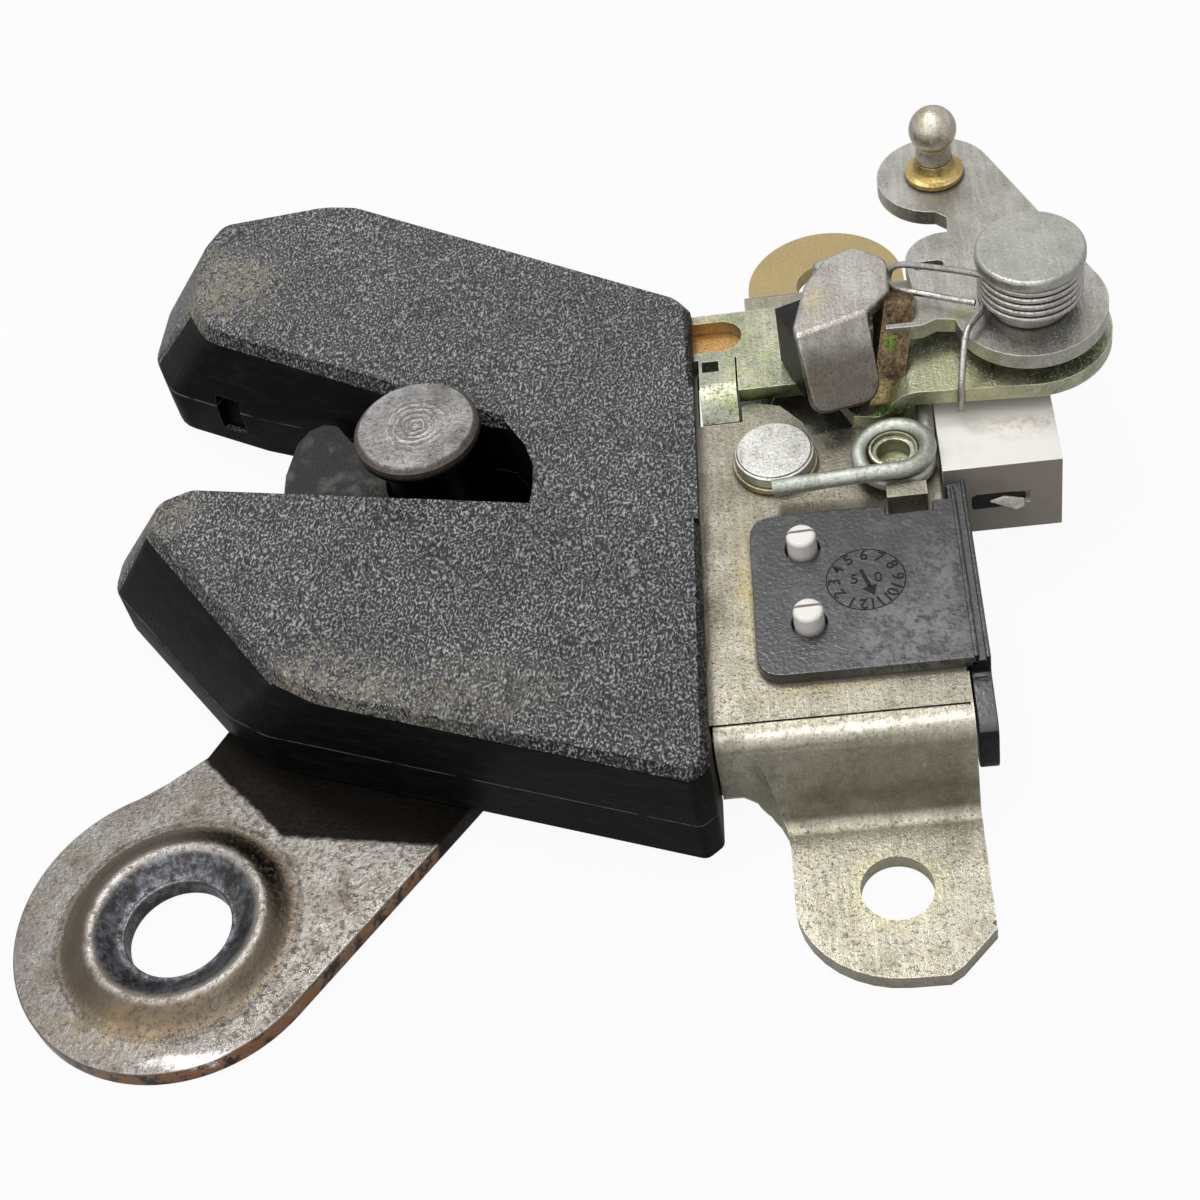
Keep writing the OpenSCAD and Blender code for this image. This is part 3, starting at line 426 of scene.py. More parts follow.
f.color = f.mix(rim * 0.8, f.color, (0.05, 0.033, 0.025))
# Painted shadow: the shank under the head is painted nearly black.
low = f.step(f.part("Z"), HEAD_LOW + 0.9, HEAD_LOW)
f.color = f.mix(low * 0.97, f.color, (0.006, 0.005, 0.004))
f.rusty = f.larger(f.rusty, rim * 0.6) * (1.0 - low)
coat(f, 0.08)
print("pin: rings round", PIN[:2])

# %% [markdown]
# ## Plastics
# The cover is black plastic with a leather grain cut into the mould, so the
# grain is on the outside faces only. Dust sits in it at the jaws' ends. A picture
# of leather could give the grain. Here bent noise does it, because it has no
# seams. The grain's raised beads are painted bright, as painted highlights, and
# the slopes get a darker copy of the top's recipe, as painted shade.


# %% Recipe for grained plastic
DUST, RUST_STAIN = (0.36, 0.315, 0.235), (0.20, 0.12, 0.06)


def grained(name, light, specular, cover):
    """Grain with painted highlights on its beads; a higher cover leaves fewer of them."""
    f = Finish(name)
    drift = f.node("ShaderNodeTexNoise", None,
                   {"Vector": f.here, "Scale": 0.35, "Detail": 1.0}, "Color")
    bent = f.node("ShaderNodeVectorMath", {"operation": "MULTIPLY_ADD"},
                  [drift, (1.2, 1.2, 0.5), f.stretched((1.3, 0.8, 1.0))])
    swell = f.noise(0.33, 1.0, 0.5, bent)
    bead = f.step(swell, cover, cover + 0.11)
    fold = f.step(f.folds(2.2, bent), 0.0, 0.14)
    dust = (f.near((-78.0, 89.5, 18), 6, 9) * 0.8
            + f.near((-80.5, 49.5, 17), 3.0, 6) * 0.75
            + f.near((-60.9, 22.4, 18), 3, 7, (0.5, 1, 1)) * 0.6
            + f.near((-46.0, 18.0, 18), 3, 8, (0.35, 1, 1)) * 0.5)
    dust = dust * f.step(f.noise(0.8, 5, 0.7, seed=4), 0.38, 0.62)
    chip = f.near((-18.5, 14.0, 10), 4.5, 5, (1, 1, 0.7)) * f.step(f.noise(1.5, 5), 0.4, 0.6)
    haze = f.step(f.noise(9, 5, 0.6, seed=8), 0.35, 0.7)
    color = f.mix(haze, shaded((0.008, 0.008, 0.009), light),
                  shaded((0.035, 0.036, 0.038), light))
    # Painted highlights: the grain's raised parts are painted lighter and the bead tops bright.
    color = f.mix(f.step(swell, 0.34, 0.62) * (fold * 0.4 + 0.6), color,
                  shaded((0.26, 0.265, 0.27), light))
    color = f.mix(bead * (haze * 0.4 + 0.6), color, shaded((1.0, 1.02, 1.04), light))
    color = f.mix(dust, color, DUST)
    color = f.mix(chip * 0.7, color, RUST_STAIN)
    f.set(Base_Color=color, Roughness=0.26 + f.noise(5, 4, 0.6) * 0.14 + dust * 0.35,
          Specular_IOR_Level=specular,
          Normal=f.relief(swell * 2.0 + f.noise(0.28, 4, 0.7) * 0.2 - (1.0 - fold) * 0.4, 0.22))


grained("cover_plastic", 0.45, 0.3, 0.54)
# The slopes take the same grain painted darker: painted shade.
grained("cover_slope_painted_shade", 0.30, 0.10, 0.56)
print("finishes so far:", len(FINISHES))

# %% [markdown]
# The cover's walls are smooth and nearly black. A thin pale line runs round them
# where the two halves of the mould met.

# %% The cover's smooth walls
PARTING = 9.1
f = Finish("cover_wall")
streak = f.step(f.noise(2.2, 6, 0.7, f.stretched((0.5, 0.5, 2.0))), 0.45, 0.75)
seam = f.part("Z") - PARTING
seam = f.step(seam.math("ABSOLUTE", seam), 0.16, 0.06) * f.step(f.noise(3, 4), 0.35, 0.55)
streak = f.larger(streak, seam * 14.0)
# The walls' rounded edges are painted paler: a painted highlight.
f.set(Base_Color=f.mix(f.larger(streak * 0.04, f.edge(0.4) * 0.12), (0.003, 0.003, 0.0035),
                       (0.20, 0.18, 0.15)),
      Roughness=0.4 + seam * 0.2, Specular_IOR_Level=0.04,
      Normal=f.relief(f.noise(0.5, 4, 0.65) + streak * 0.3, 0.05))
print("cover_wall: parting line at", PARTING, "mm")

# %% [markdown]
# The smaller mouldings have no grain. One recipe covers them all: a plain colour,
# soil in clouds, painted shade in the corners, and spots: scuffs where the real
# piece is scuffed, and on the white connector painted shade and a painted shadow.


# %% Smooth mouldings
def moulded(name, color, soil_and_shade_color, rough, dirt, seed, grain=0.02, specular=0.5, spots=()):
    """A plain plastic with soil in clouds, painted shade in its corners, and spots."""
    f = Finish(name)
    soil_and_shade = f.step(f.noise(3.5, 6, 0.68, seed=seed), 0.5, 0.75) * dirt
    soil_and_shade = f.larger(soil_and_shade, f.crevice(1.2) * 0.6)
    paint = f.mix(soil_and_shade, color, soil_and_shade_color)
    for point, radius, soft, squeeze, spot_color, share in spots:
        spot = f.near(point, radius, soft, squeeze) * f.step(f.noise(1.2, 5, 0.75, seed=seed),
                                                             0.42, 0.6)
        paint = f.mix(spot * share, paint, spot_color)
        soil_and_shade = f.larger(soil_and_shade, spot * share)
    shine = f.noise(2, 3, 0.6, seed=seed) * 0.14 + (rough - 0.07) + soil_and_shade * 0.3
    f.set(Base_Color=paint, Roughness=shine, Specular_IOR_Level=specular,
          Normal=f.relief(f.noise(0.5, 3, 0.6, seed=seed), grain))


moulded("black_plastic", (0.006, 0.006, 0.007), (0.04, 0.037, 0.03), 0.42, 0.3, 1,
        specular=0.15, grain=0.15)
moulded("switch_black", (0.009, 0.0095, 0.011), (0.10, 0.10, 0.098), 0.26, 0.5, 2,
        specular=0.75, grain=0.06,
        spots=[((3.5, 22.5, 16), 5, 7, (0.7, 1, 1), (0.17, 0.17, 0.165), 0.8),
               ((8, 29, 16), 2.5, 6, (1, 0.4, 1), (0.16, 0.16, 0.155), 0.7),
               ((-6, 31, 16), 1.5, 6, (1, 1, 1), (0.10, 0.10, 0.10), 0.6)])
moulded("dial_black", (0.004, 0.004, 0.004), (0.03, 0.025, 0.02), 0.5, 0.3, 6, specular=0.2)
moulded("catch_coat", (0.022, 0.022, 0.021), (0.15, 0.145, 0.135), 0.6, 0.9, 3, grain=0.4,
        specular=0.3)
# The connector's front: the white painted darker, as painted shade.
moulded("connector_shade", (0.26, 0.225, 0.19), (0.16, 0.12, 0.095), 0.5, 0.5, 14)
moulded("connector_white", (0.84, 0.82, 0.77), (0.45, 0.40, 0.34), 0.48, 0.2, 4,
        # Spots of painted shade on the front and of the lever's painted shadow near the bracket's
        # edge.
        spots=[((16.5, 44.8, 8), 6, 5, (0.8, 1.6, 1), (0.44, 0.33, 0.27), 0.6),
               ((20, 51.5, 16.2), 1.5, 3, (0.3, 1, 1), (0.50, 0.36, 0.30), 0.6)])
moulded("plunger_red", (0.42, 0.05, 0.04), (0.2, 0.05, 0.04), 0.4, 0.3, 5)
print("all finishes:", len(FINISHES))

# %% [markdown]
# ## Soft edges
# No pressed or moulded piece has a knife edge. Each CAD solid is copied, its
# loose triangles are joined into clean faces, and a bevel rounds its edges. The
# weighted normals keep the large faces flat in the light.


# %% Select, edit and give modifiers
def only(piece):
    """Selects one piece and nothing else."""
    bpy.ops.object.select_all(action="DESELECT")
    piece.select_set(True)
    bpy.context.view_layer.objects.active = piece


def edit(piece, *steps, wanted=None):
    """Runs mesh operators in edit mode on the wanted faces, or on the whole piece."""
    only(piece)
    for face in piece.data.polygons:
        face.select = wanted is None or wanted(face)
    for part in (piece.data.edges, piece.data.vertices):
        part.foreach_set("select", [wanted is None] * len(part))
    bpy.ops.object.mode_set(mode="EDIT")
    bpy.ops.mesh.select_mode(type="FACE")
    for step in steps:
        step()
    bpy.ops.object.mode_set(mode="OBJECT")


def pick(piece, wanted, *steps):
    """Runs mesh operators on the wanted vertices, given in millimetres."""
    only(piece)
    for part in (piece.data.polygons, piece.data.edges):
        part.foreach_set("select", [False] * len(part))
    for vertex in piece.data.vertices:
        vertex.select = wanted(vertex.co / MM)
    bpy.ops.object.mode_set(mode="EDIT")
    bpy.ops.mesh.select_mode(type="VERT")
    for step in steps:
        step()
    bpy.ops.object.mode_set(mode="OBJECT")


def add_modifier(piece, kind, **settings):
    """Adds a modifier and applies it at once."""
    only(piece)
    made = piece.modifiers.new(kind.title(), kind)
    for name, value in settings.items():
        setattr(made, name, value)
    bpy.ops.object.modifier_apply(modifier=made.name)


def bevel(piece, width, segments=2, sharp=38):
    """Rounds the edges that turn by more than an angle in degrees."""
    add_modifier(piece, "BEVEL", width=width * MM, segments=segments, limit_method="ANGLE",
                 angle_limit=math.radians(sharp), use_clamp_overlap=True)


def shade(piece):
    """Smooth over the rounded edges, flat on the large faces."""
    only(piece)
    bpy.ops.object.shade_smooth_by_angle(angle=math.radians(35))
    add_modifier(piece, "WEIGHTED_NORMAL", keep_sharp=True, weight=70)


# %% Give a piece its finish and its place in the mechanism
BODIES = frame["record"]["behaviour"]["bodies"]
SLOT_OF = {part["node"]: part["material_slot"] for part in frame["record"]["subparts"]}


def settle(piece, node):
    """Gives a piece the finish, the body and the slot of a CAD node."""
    piece.data.materials.clear()
    piece.data.materials.append(FINISHES[SLOT_OF[node]])
    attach(piece, next(body for body, nodes in BODIES.items() if node in nodes))


def repaint(piece, finish, wanted=None):
    """Another finish, for a whole piece or for its wanted faces."""
    if wanted is None:
        piece.data.materials[0] = FINISHES[finish]
        return
    piece.data.materials.append(FINISHES[finish])
    for face in piece.data.polygons:
        if wanted(face):
            face.material_index = len(piece.data.materials) - 1
    print(piece.name, "has faces of", finish)


print("bodies:", ", ".join(BODIES))

# %% [markdown]
# A bent sheet is three nodes in the solids. Their copies are joined, and where
# two of them touch, the faces on that plane are deleted, so that the welded sheet
# has no wall inside it. A correction can come before the edges are rounded.


# %% Copy solids and round their edges
def soften(nodes, width, name=None, first=None):
    """Copies nodes into one piece with rounded edges that replaces them."""
    nodes = nodes.split()
    bpy.ops.object.select_all(action="DESELECT")
    for node in nodes:
        copy = bpy.data.objects.new(node + "_soft", frame["nodes"][node].data.copy())
        bpy.context.collection.objects.link(copy)
        copy.select_set(True)
        bpy.context.view_layer.objects.active = copy
    if len(nodes) > 1:
        bpy.ops.object.join()
    piece = bpy.context.object
    piece.name = name or nodes[0] + "_soft"
    edit(piece, lambda: bpy.ops.mesh.remove_doubles(threshold=3e-5))
    ends = [pick_y(vertex.co.y for vertex in piece.data.vertices) for pick_y in (min, max)]
    seams = [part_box(node)[k][1] for node in nodes[1:] for k in (0, 1)]
    for seam in [y for y in seams if min(abs(y - end) for end in ends) > 1e-4]:
        def on_seam(face):
            return all(abs(piece.data.vertices[v].co.y - seam) < 1e-6 for v in face.vertices)
        if len({tuple(face.center) for face in piece.data.polygons if on_seam(face)}) > 1:
            edit(piece, lambda: bpy.ops.mesh.delete(type="ONLY_FACE"), wanted=on_seam)
    edit(piece, lambda: bpy.ops.mesh.dissolve_limited(angle_limit=math.radians(0.6)))
    if first:
        first(piece)
    bevel(piece, width)
    shade(piece)
    settle(piece, nodes[0])
    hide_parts(*nodes)
    print(piece.name, "softened:", len(piece.data.polygons), "faces")
    return piece


# %% Round the edges of the solids, each by its own radius in millimetres
SOFT_EDGES = {"back_plate": 0.2, "catch": 0.4, "catch_pivot": 0.2, "spring_post": 0.2,
              "pawl": 0.2, "pawl_pivot": 0.25, "pivot_washer": 0.12, "spring_boss": 0.12,
              "claw_insert": 0.3, "lever_bracket": 0.25, "bracket_rivets": 0.2,
              "release_lever": 0.3, "lever_rivet": 0.25, "switch_housing": 0.2,
              "switch_plunger": 0.1, "switch_contacts": 0.08, "striker_plate": 0.3,
              "striker_pin": 0.3}
soft = {node: soften(node, width) for node, width in SOFT_EDGES.items()}

# %% [markdown]
# The cover's top meets its slopes in a wider rounding than its other edges have.
# A bevel by angle would round them all alike, so these edges are found by the
# faces on their two sides, and beveled first.


# %% Round the cover's top
TOP_ROUNDING, GRAIN_END = 1.9, 17.0


def round_top(piece):
    """A wide rounding on the edges between the cover's top and its slopes."""
    mesh = piece.data
    only(piece)
    for part in (mesh.vertices, mesh.polygons):
        part.foreach_set("select", [False] * len(part))
    facing = {}
    for face in mesh.polygons:
        for key in face.edge_keys:
            facing.setdefault(key, []).append(face.normal.z)
    for line in mesh.edges:
        slopes = sorted(facing[line.key])
        line.select = slopes[-1] > 0.98 and 0.3 < slopes[0] < 0.9
    bpy.ops.object.mode_set(mode="EDIT")
    bpy.ops.mesh.select_mode(type="EDGE")
    bpy.ops.mesh.bevel(offset=TOP_ROUNDING * MM, segments=5, clamp_overlap=True)
    bpy.ops.mesh.select_all(action="SELECT")
    bpy.ops.mesh.bisect(plane_co=(0, 0, GRAIN_END * MM), plane_no=(0, 0, 1))
    bpy.ops.object.mode_set(mode="OBJECT")
    print("rounded edges:", len(mesh.polygons), "faces now")


soft["cover"] = soften("cover", 0.35, first=round_top)

# %% [markdown]
# The plate and its two ears are one sheet. In the solids the plate ends a little
# past the start of the lower ear's bend, and stands above it there. Its front
# edge is drawn back and down, so that the sheet runs on into the bend.


# %% The frame's sheet
FRONT_EDGE, TO_BEND = 13.2, (0, 0.8 * MM, -0.045 * MM)


def close_bend(piece):
    """The plate's front edge meets the start of the ear's bend, with no face between."""
    def front(at):
        return abs(at.y - FRONT_EDGE) < 0.08 and at.z > 10
    edit(piece, lambda: bpy.ops.mesh.delete(type="ONLY_FACE"),
         wanted=lambda face: all(front(piece.data.vertices[v].co / MM) for v in face.vertices))
    pick(piece, lambda at: front(at) and at.z > 14.2,
         lambda: bpy.ops.transform.translate(value=TO_BEND))


soft["base_plate"] = soften("base_plate ear_lower ear_upper", 0.35, name="frame_sheet",
                            first=close_bend)


# %% The cover's slopes and walls
def is_wall(face):
    """A steep face, or a less steep one of the near slope below its grain."""
    low = face.center.z < GRAIN_END * MM
    return face.normal.z < 0.35 or face.normal.z < 0.62 and face.normal.y < -0.3 and low


repaint(soft["cover"], "cover_slope_painted_shade", lambda face: face.normal.z < 0.9)
repaint(soft["cover"], "cover_wall", is_wall)

# %% [markdown]
# Two small corrections are quicker on the copies than in the solids. The lower
# ear is a little flatter at its end, and the pegs of the switch make way for
# new ones with split tops.

# %% Flatten the ear's end and lower the old pegs
EAR_FLATTER, EAR_HELD_AT, PEGS_DOWN = 0.893, (0, -0.8 * MM, 0), (0, 0, -2.7 * MM)
pick(soft["base_plate"], lambda at: at.y < -0.9 and at.z < 3 and at.xy.length > 5.2,
     lambda: bpy.ops.transform.resize(value=(1, EAR_FLATTER, 1), center_override=EAR_HELD_AT))
pick(soft["switch_housing"], lambda at: at.z > 15.5 and at.x < 0,
     lambda: bpy.ops.transform.translate(value=PEGS_DOWN))
print("ear ends at", round(min(v.co.y for v in soft["base_plate"].data.vertices) / MM, 2))

# %% [markdown]
# ## Pieces with a better outline
# A pressed or moulded plate is drawn as a flat curve, which fills itself and
# gives itself a thickness. Made a mesh, it can be folded: the sheet is cut
# across the bend and one side is turned down about it.


# %% Points of an outline
def rounded(points, steps=5):
    """An outline, a corner with a third value rounded by that radius."""
    loop = []
    for n, point in enumerate(points):
        corner = Vector(point[:2])
        if len(point) == 2:
            loop.append(corner)
            continue
        before = Vector(points[n - 1][:2]) - corner
        after = Vector(points[(n + 1) % len(points)][:2]) - corner
        reach = point[2] / math.tan(before.angle(after) / 2)
        reach = min(reach, before.length * 0.48, after.length * 0.48)
        start, end = corner + before.normalized() * reach, corner + after.normalized() * reach
        for step in range(steps + 1):
            t = step / steps
            loop.append(start * (1 - t) ** 2 + corner * 2 * t * (1 - t) + end * t ** 2)
    return loop


def disc_points(centre, radius, count=32):
    """A round outline."""
    return [(centre[0] + radius * math.cos(math.tau * n / count),
             centre[1] + radius * math.sin(math.tau * n / count)) for n in range(count)]


# %% Moves in millimetres, turns in degrees
def shift(x, y, z):
    return Matrix.Translation((x * MM, y * MM, z * MM))


def turn(angle, axis="Z"):
    return Matrix.Rotation(math.radians(angle), 4, axis)


# %% A plate from its outlines
def straight_lines(outlines, closed):
    """A curve of straight lines through points in millimetres."""
    bpy.ops.object.select_all(action="DESELECT")
    bpy.ops.curve.primitive_nurbs_path_add(location=(0, 0, 0))
    curve = bpy.context.object.data
    curve.splines.clear()
    for points in outlines:
        line = curve.splines.new("POLY")
        line.points.add(len(points) - 1)
        for knot, place in zip(line.points, points):
            knot.co = (*(value * MM for value in place), 1)
        line.use_cyclic_u = closed
    return curve


def slab(outlines, low, high, place=None):
    """A plate between two heights; outlines inside the first are its holes."""
    curve = straight_lines([[(x, y, 0) for x, y in outline] for outline in outlines], True)
    curve.dimensions, curve.fill_mode = "2D", "BOTH"
    curve.extrude = (high - low) / 2 * MM
    bpy.ops.object.convert(target="MESH")
    piece = bpy.context.object
    piece.data.transform(shift(0, 0, (low + high) / 2))
    if place:
        piece.data.transform(place)
    edit(piece, lambda: bpy.ops.mesh.remove_doubles(threshold=1e-6),
         lambda: bpy.ops.mesh.dissolve_limited(angle_limit=0.01),
         lambda: bpy.ops.mesh.normals_make_consistent(inside=False))
    return piece


# %% A block
def block(size, place):
    """A cube stretched to a size in millimetres and then put in its place."""
    bpy.ops.object.select_all(action="DESELECT")
    bpy.ops.mesh.primitive_cube_add(size=1, location=(0, 0, 0))
    piece = bpy.context.object
    piece.data.transform(place @ Matrix.Diagonal((*(value * MM for value in size), 1)))
    return piece


# %% Join and complete a piece
def join(pieces, name):
    """Makes several pieces one, under a new name."""
    bpy.ops.object.select_all(action="DESELECT")
    for piece in pieces:
        piece.select_set(True)
    bpy.context.view_layer.objects.active = pieces[0]
    bpy.ops.object.join()
    pieces[0].name = name
    return pieces[0]


def complete(piece, node, width, segments=2, extra=False):
    """Rounds a piece and settles it; an extra one leaves the CAD node in its place."""
    bevel(piece, width, segments)
    shade(piece)
    settle(piece, node)
    if not extra:
        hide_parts(node)
    print(piece.name, "has", len(piece.data.polygons), "faces")


# %% [markdown]
# The claw is a folded sheet: a flat top, a flap that leans forward and down over
# the black insert, and a leg behind. The blank is drawn flat and cut along the
# fold, and what lies in front of it is turned down.

# %% The claw, folded from sheet
CLAW = shift(0, 60.6, 0) @ turn(19.6)
CLAW_LOW, CLAW_HIGH, FOLD, FOLD_ANGLE = 25.2, 27.0, -0.3, -62.5
blank = rounded([(-5.5, -0.3), (-6.0, -8.3, 1.8), (2.2, -9.3, 2.8), (3.4, -0.3), (7.0, 1.6, 1.6),
                 (9.0, 6.6, 2.4), (6.6, 10.9, 2.4), (2.6, 10.3, 2.5), (-1.3, 7.3, 2.5),
                 (-5.2, 1.4, 1.8)])
claw = slab([blank], CLAW_LOW, CLAW_HIGH)
for line in (FOLD, FOLD - 0.02):
    edit(claw, lambda: bpy.ops.mesh.bisect(plane_co=(0, line * MM, 0), plane_no=(0, 1, 0)))
pick(claw, lambda at: at.y < FOLD - 0.01,
     lambda: bpy.ops.transform.rotate(value=math.radians(FOLD_ANGLE), orient_axis="X",
                                      center_override=(0, FOLD * MM, CLAW_LOW * MM)))
low = min(v.co.z for v in claw.data.vertices) / MM
print("claw's flap reaches down to", round(low, 2))

# %% The claw's leg and the finish of its edges
LEG_LEANS = (0, -1.6 * MM, 0)
leg = block((5, 1.8, 16.4), shift(3.8, 11.9, 18.1))
pick(leg, lambda at: at.z > 20, lambda: bpy.ops.transform.translate(value=LEG_LEANS))
claw = join([claw, leg], "claw_sheet")
claw.data.transform(CLAW)
complete(claw, "claw", 0.5, 3)

# %% [markdown]
# The lug at the claw's right side is a rusty strip that runs down to the bracket.
# Its side view is drawn flat, stood up, and then leaned over.

# %% The rusty lug
LUG_LEAN, LUG_TOP = 0.33, 26.4
YZ = Matrix(((0, 0, 1, 0), (1, 0, 0, 0), (0, 1, 0, 0), (0, 0, 0, 1)))
lug = slab([rounded([(66.6, 25.2, 0.6), (63.2, 26.3, 1.2), (60.4, 23.6, 2), (57.2, 20.4, 2),
                     (55.2, 17.4, 0.4), (56.6, 17.4, 0.4), (59.4, 19.2, 2), (63.0, 21.6, 2),
                     (66.6, 22.0, 1)])], 5.4, 8.9, YZ)
lean = Matrix.Identity(4)
lean[0][2], lean[0][3] = LUG_LEAN, -LUG_LEAN * LUG_TOP * MM
lug.data.transform(lean)
lug.name = "claw_lug"
complete(lug, "claw", 0.7, 3, extra=True)
repaint(lug, "lug_rust")

# %% [markdown]
# The switch cover is one moulding: a plate with two holes for the pegs, and a
# wall that hangs down past its right edge and runs on in front of it. Each part
# is drawn from the side where its outline shows, and the parts are joined.

# %% The switch's cover plate and its side
PEGS = [(-6.6, 36.2), (-6.5, 25.5)]
edge = rounded([(10.9, 18.6), (10.9, 41.4), (8.2, 41.4), (8.2, 40.0), (3.0, 40.0),
                (3.0, 41.4, 0.4), (-12.4, 41.4, 3), (-12.4, 18.6, 3)])
top = slab([edge] + [disc_points(peg, 1.95) for peg in PEGS], 14.5, 16.0)
profile = rounded([(18.6, 15.4, 0.3), (44.2, 15.4, 0.3), (44.2, 4.4, 1), (11.6, 4.4, 2.6),
                   (11.6, 12.4, 2.2), (18.6, 13.2, 0.6)])
wall = slab([profile], 10.0, 12.1, YZ)
lip = slab([rounded([(18.6, 15.9, 0.3), (44.2, 15.9, 0.3), (44.2, 14.6), (18.6, 14.6)])],
           11.6, 12.1, YZ)
bead = slab([[(18.6, 16.25), (43.0, 16.25), (43.0, 15.0), (18.6, 15.0)]], 10.35, 10.85, YZ)
cap = join([top, wall, lip, bead], "switch_plate")
complete(cap, "switch_cover", 0.18)
repaint(cap, "black_plastic",
        lambda face: face.center.x > 9.9 * MM and face.normal.z < 0.5)

# %% [markdown]
# The pegs of the white housing hold the plate. Each is a round bar with a soft
# top and a slit across it. The slit goes in after the top is rounded, because a
# bevel round a slit would close it.

# %% Pegs with split tops
PEG_R, PEG_LOW, PEG_TOP, SLIT_LOW = 1.66, 14.0, 18.3, 17.4
for count, (x, y) in enumerate(PEGS, 1):
    peg = slab([disc_points((x, y), PEG_R, 40)], PEG_LOW, PEG_TOP)
    peg.name = f"switch_peg_{count}"
    bevel(peg, 0.5, 4, 60)
    slit = slab([[(x - 3, y + 0.2), (x + 3, y + 0.35), (x + 3, y + 0.7), (x - 3, y + 0.55)]],
                SLIT_LOW, PEG_TOP + 1.7)
    add_modifier(peg, "BOOLEAN", operation="DIFFERENCE", object=slit)
    bpy.data.objects.remove(slit)
    complete(peg, "switch_housing", 0.08, 1, extra=True)

# %% [markdown]
# The openings of the frame look into the dark. A black sheet closes the back
# there as painted shade, and a small plate closes the pocket in the upper jaw.

# %% Painted-shade sheet and pocket floor
shade_sheet = slab([rounded([(-17.2, 56.2, 1), (4.5, 56.2, 1), (4.5, 75.5, 2), (-17.2, 75.5, 2)])],
              3.5, 4.5)
shade_sheet.name = "shade_sheet"
complete(shade_sheet, "switch_cover", 0.2, extra=True)
POCKET = shift(-78.4, 77.0, 7.6) @ turn(-29) @ turn(-18, "X") @ shift(0, 0.9, 0)
backing = block((5.4, 0.9, 6.6), POCKET)
backing.name = "pocket_floor"
complete(backing, "cover", 0.1, extra=True)
repaint(backing, "cover_wall")

# %% [markdown]
# The connector's front face is painted darker, as painted shade, and has a dark
# window in which the tip of the plug's clip shows. A hole would need an inside
# that nobody sees, so a thin dark plate stands for the window and its shade, and
# the clip is a wedge on it.

# %% The connector's window and the clip in it
repaint(soft["switch_housing"], "connector_shade",
        lambda face: face.normal.y < -0.6 and face.center.x > 9 * MM)
XZ = Matrix(((1, 0, 0, 0), (0, 0, 1, 0), (0, 1, 0, 0), (0, 0, 0, 1)))
opening = slab([rounded([(13.0, 9.3, 0.4), (18.8, 9.5, 0.4), (19.2, 11.3, 0.4),
                         (13.0, 11.5, 0.4)])], 45.18, 45.5, XZ)
opening.name = "connector_window"
complete(opening, "switch_housing", 0.03, 1, extra=True)
repaint(opening, "dial_black")
clip = slab([[(15.0, 10.6), (18.0, 8.9), (18.9, 9.4), (18.9, 10.5), (16.6, 11.2)]], 44.9, 45.6, XZ)
clip.name = "connector_clip"
complete(clip, "switch_housing", 0.1, extra=True)

# %% [markdown]
# ## Turned pieces
# A lathe makes a piece from a profile. Here the profile is a line of points,
# each a radius and a height, and the spin operator turns it about the axis.


# %% The lathe
def lathe(name, centre, profile, node, steps=48):
    """A turned piece on an upright axis, which replaces a node."""
    straight_lines([[(radius, 0, height) for radius, height in profile]], False)
    bpy.ops.object.convert(target="MESH")
    piece = bpy.context.object
    piece.name = name
    only(piece)
    bpy.ops.object.mode_set(mode="EDIT")
    bpy.ops.mesh.select_all(action="SELECT")
    bpy.ops.mesh.spin(steps=steps, angle=math.tau, center=(0, 0, 0), axis=(0, 0, 1))
    bpy.ops.object.mode_set(mode="OBJECT")
    edit(piece, lambda: bpy.ops.mesh.remove_doubles(threshold=1e-6),
         lambda: bpy.ops.mesh.normals_make_consistent(inside=False))
    piece.data.transform(shift(*centre, 0))
    shade(piece)
    settle(piece, node)
    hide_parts(node)
    print(name, "has", len(piece.data.polygons), "faces")


# %% The ball stud and its collar
BALL, BALL_Z, BALL_R = (13.4, 87.0), 31.35, 2.85
ball = [(BALL_R * math.cos(math.radians(a)), BALL_Z + BALL_R * math.sin(math.radians(a)))
        for a in range(-40, 90, 5)]
lathe("ball_turned", BALL,
      [(0, 21.7), (2.45, 21.7), (2.6, 21.85), (2.6, 22.5), (1.7, 22.5), (1.7, 27.0),
       (1.85, 27.15), (2.12, 27.2), (2.15, 27.4), (2.15, 29.2)] + ball + [(0, BALL_Z + BALL_R)],
      "ball_stud")
lathe("collar_turned", BALL,
      [(1.76, 24.5), (3.2, 24.5), (3.5, 24.65), (3.6, 25.0), (3.5, 25.3), (3.1, 25.45),
       (2.7, 25.6), (2.4, 26.0), (2.3, 26.9), (2.2, 27.1), (1.76, 27.1), (1.76, 24.5)],
      "ball_collar")

# %% [markdown]
# The boss that the pawl's spring is wound round is a small turned cup, with a
# rim that keeps the coil on it.

# %% The spring's boss
COIL = (4.6, 48.4)
lathe("boss_turned", COIL,
      [(0, 15.2), (2.2, 15.2), (2.35, 15.4), (2.45, 17.4), (2.55, 17.55), (2.75, 17.5),
       (2.85, 17.3), (2.85, 14.5), (0, 14.5)], "spring_boss")

# %% [markdown]
# ## Springs
# A spring is one round wire. Its path is a list of points: a leg, the turns of
# the coil and the other leg. A curve through them with a round section makes
# the wire, and its bends come out soft.


# %% Wind a wire along points
def turns(centre, radius, height, pitch, start, stop):
    """Points of a coil from one angle to another, a point every ten degrees."""
    count = round(abs(stop - start) / 10)
    for step in range(count + 1):
        angle = math.radians(start + (stop - start) * step / count)
        yield (centre[0] + radius * math.cos(angle), centre[1] + radius * math.sin(angle),
               height + pitch * abs(stop - start) / 360 * step / count)


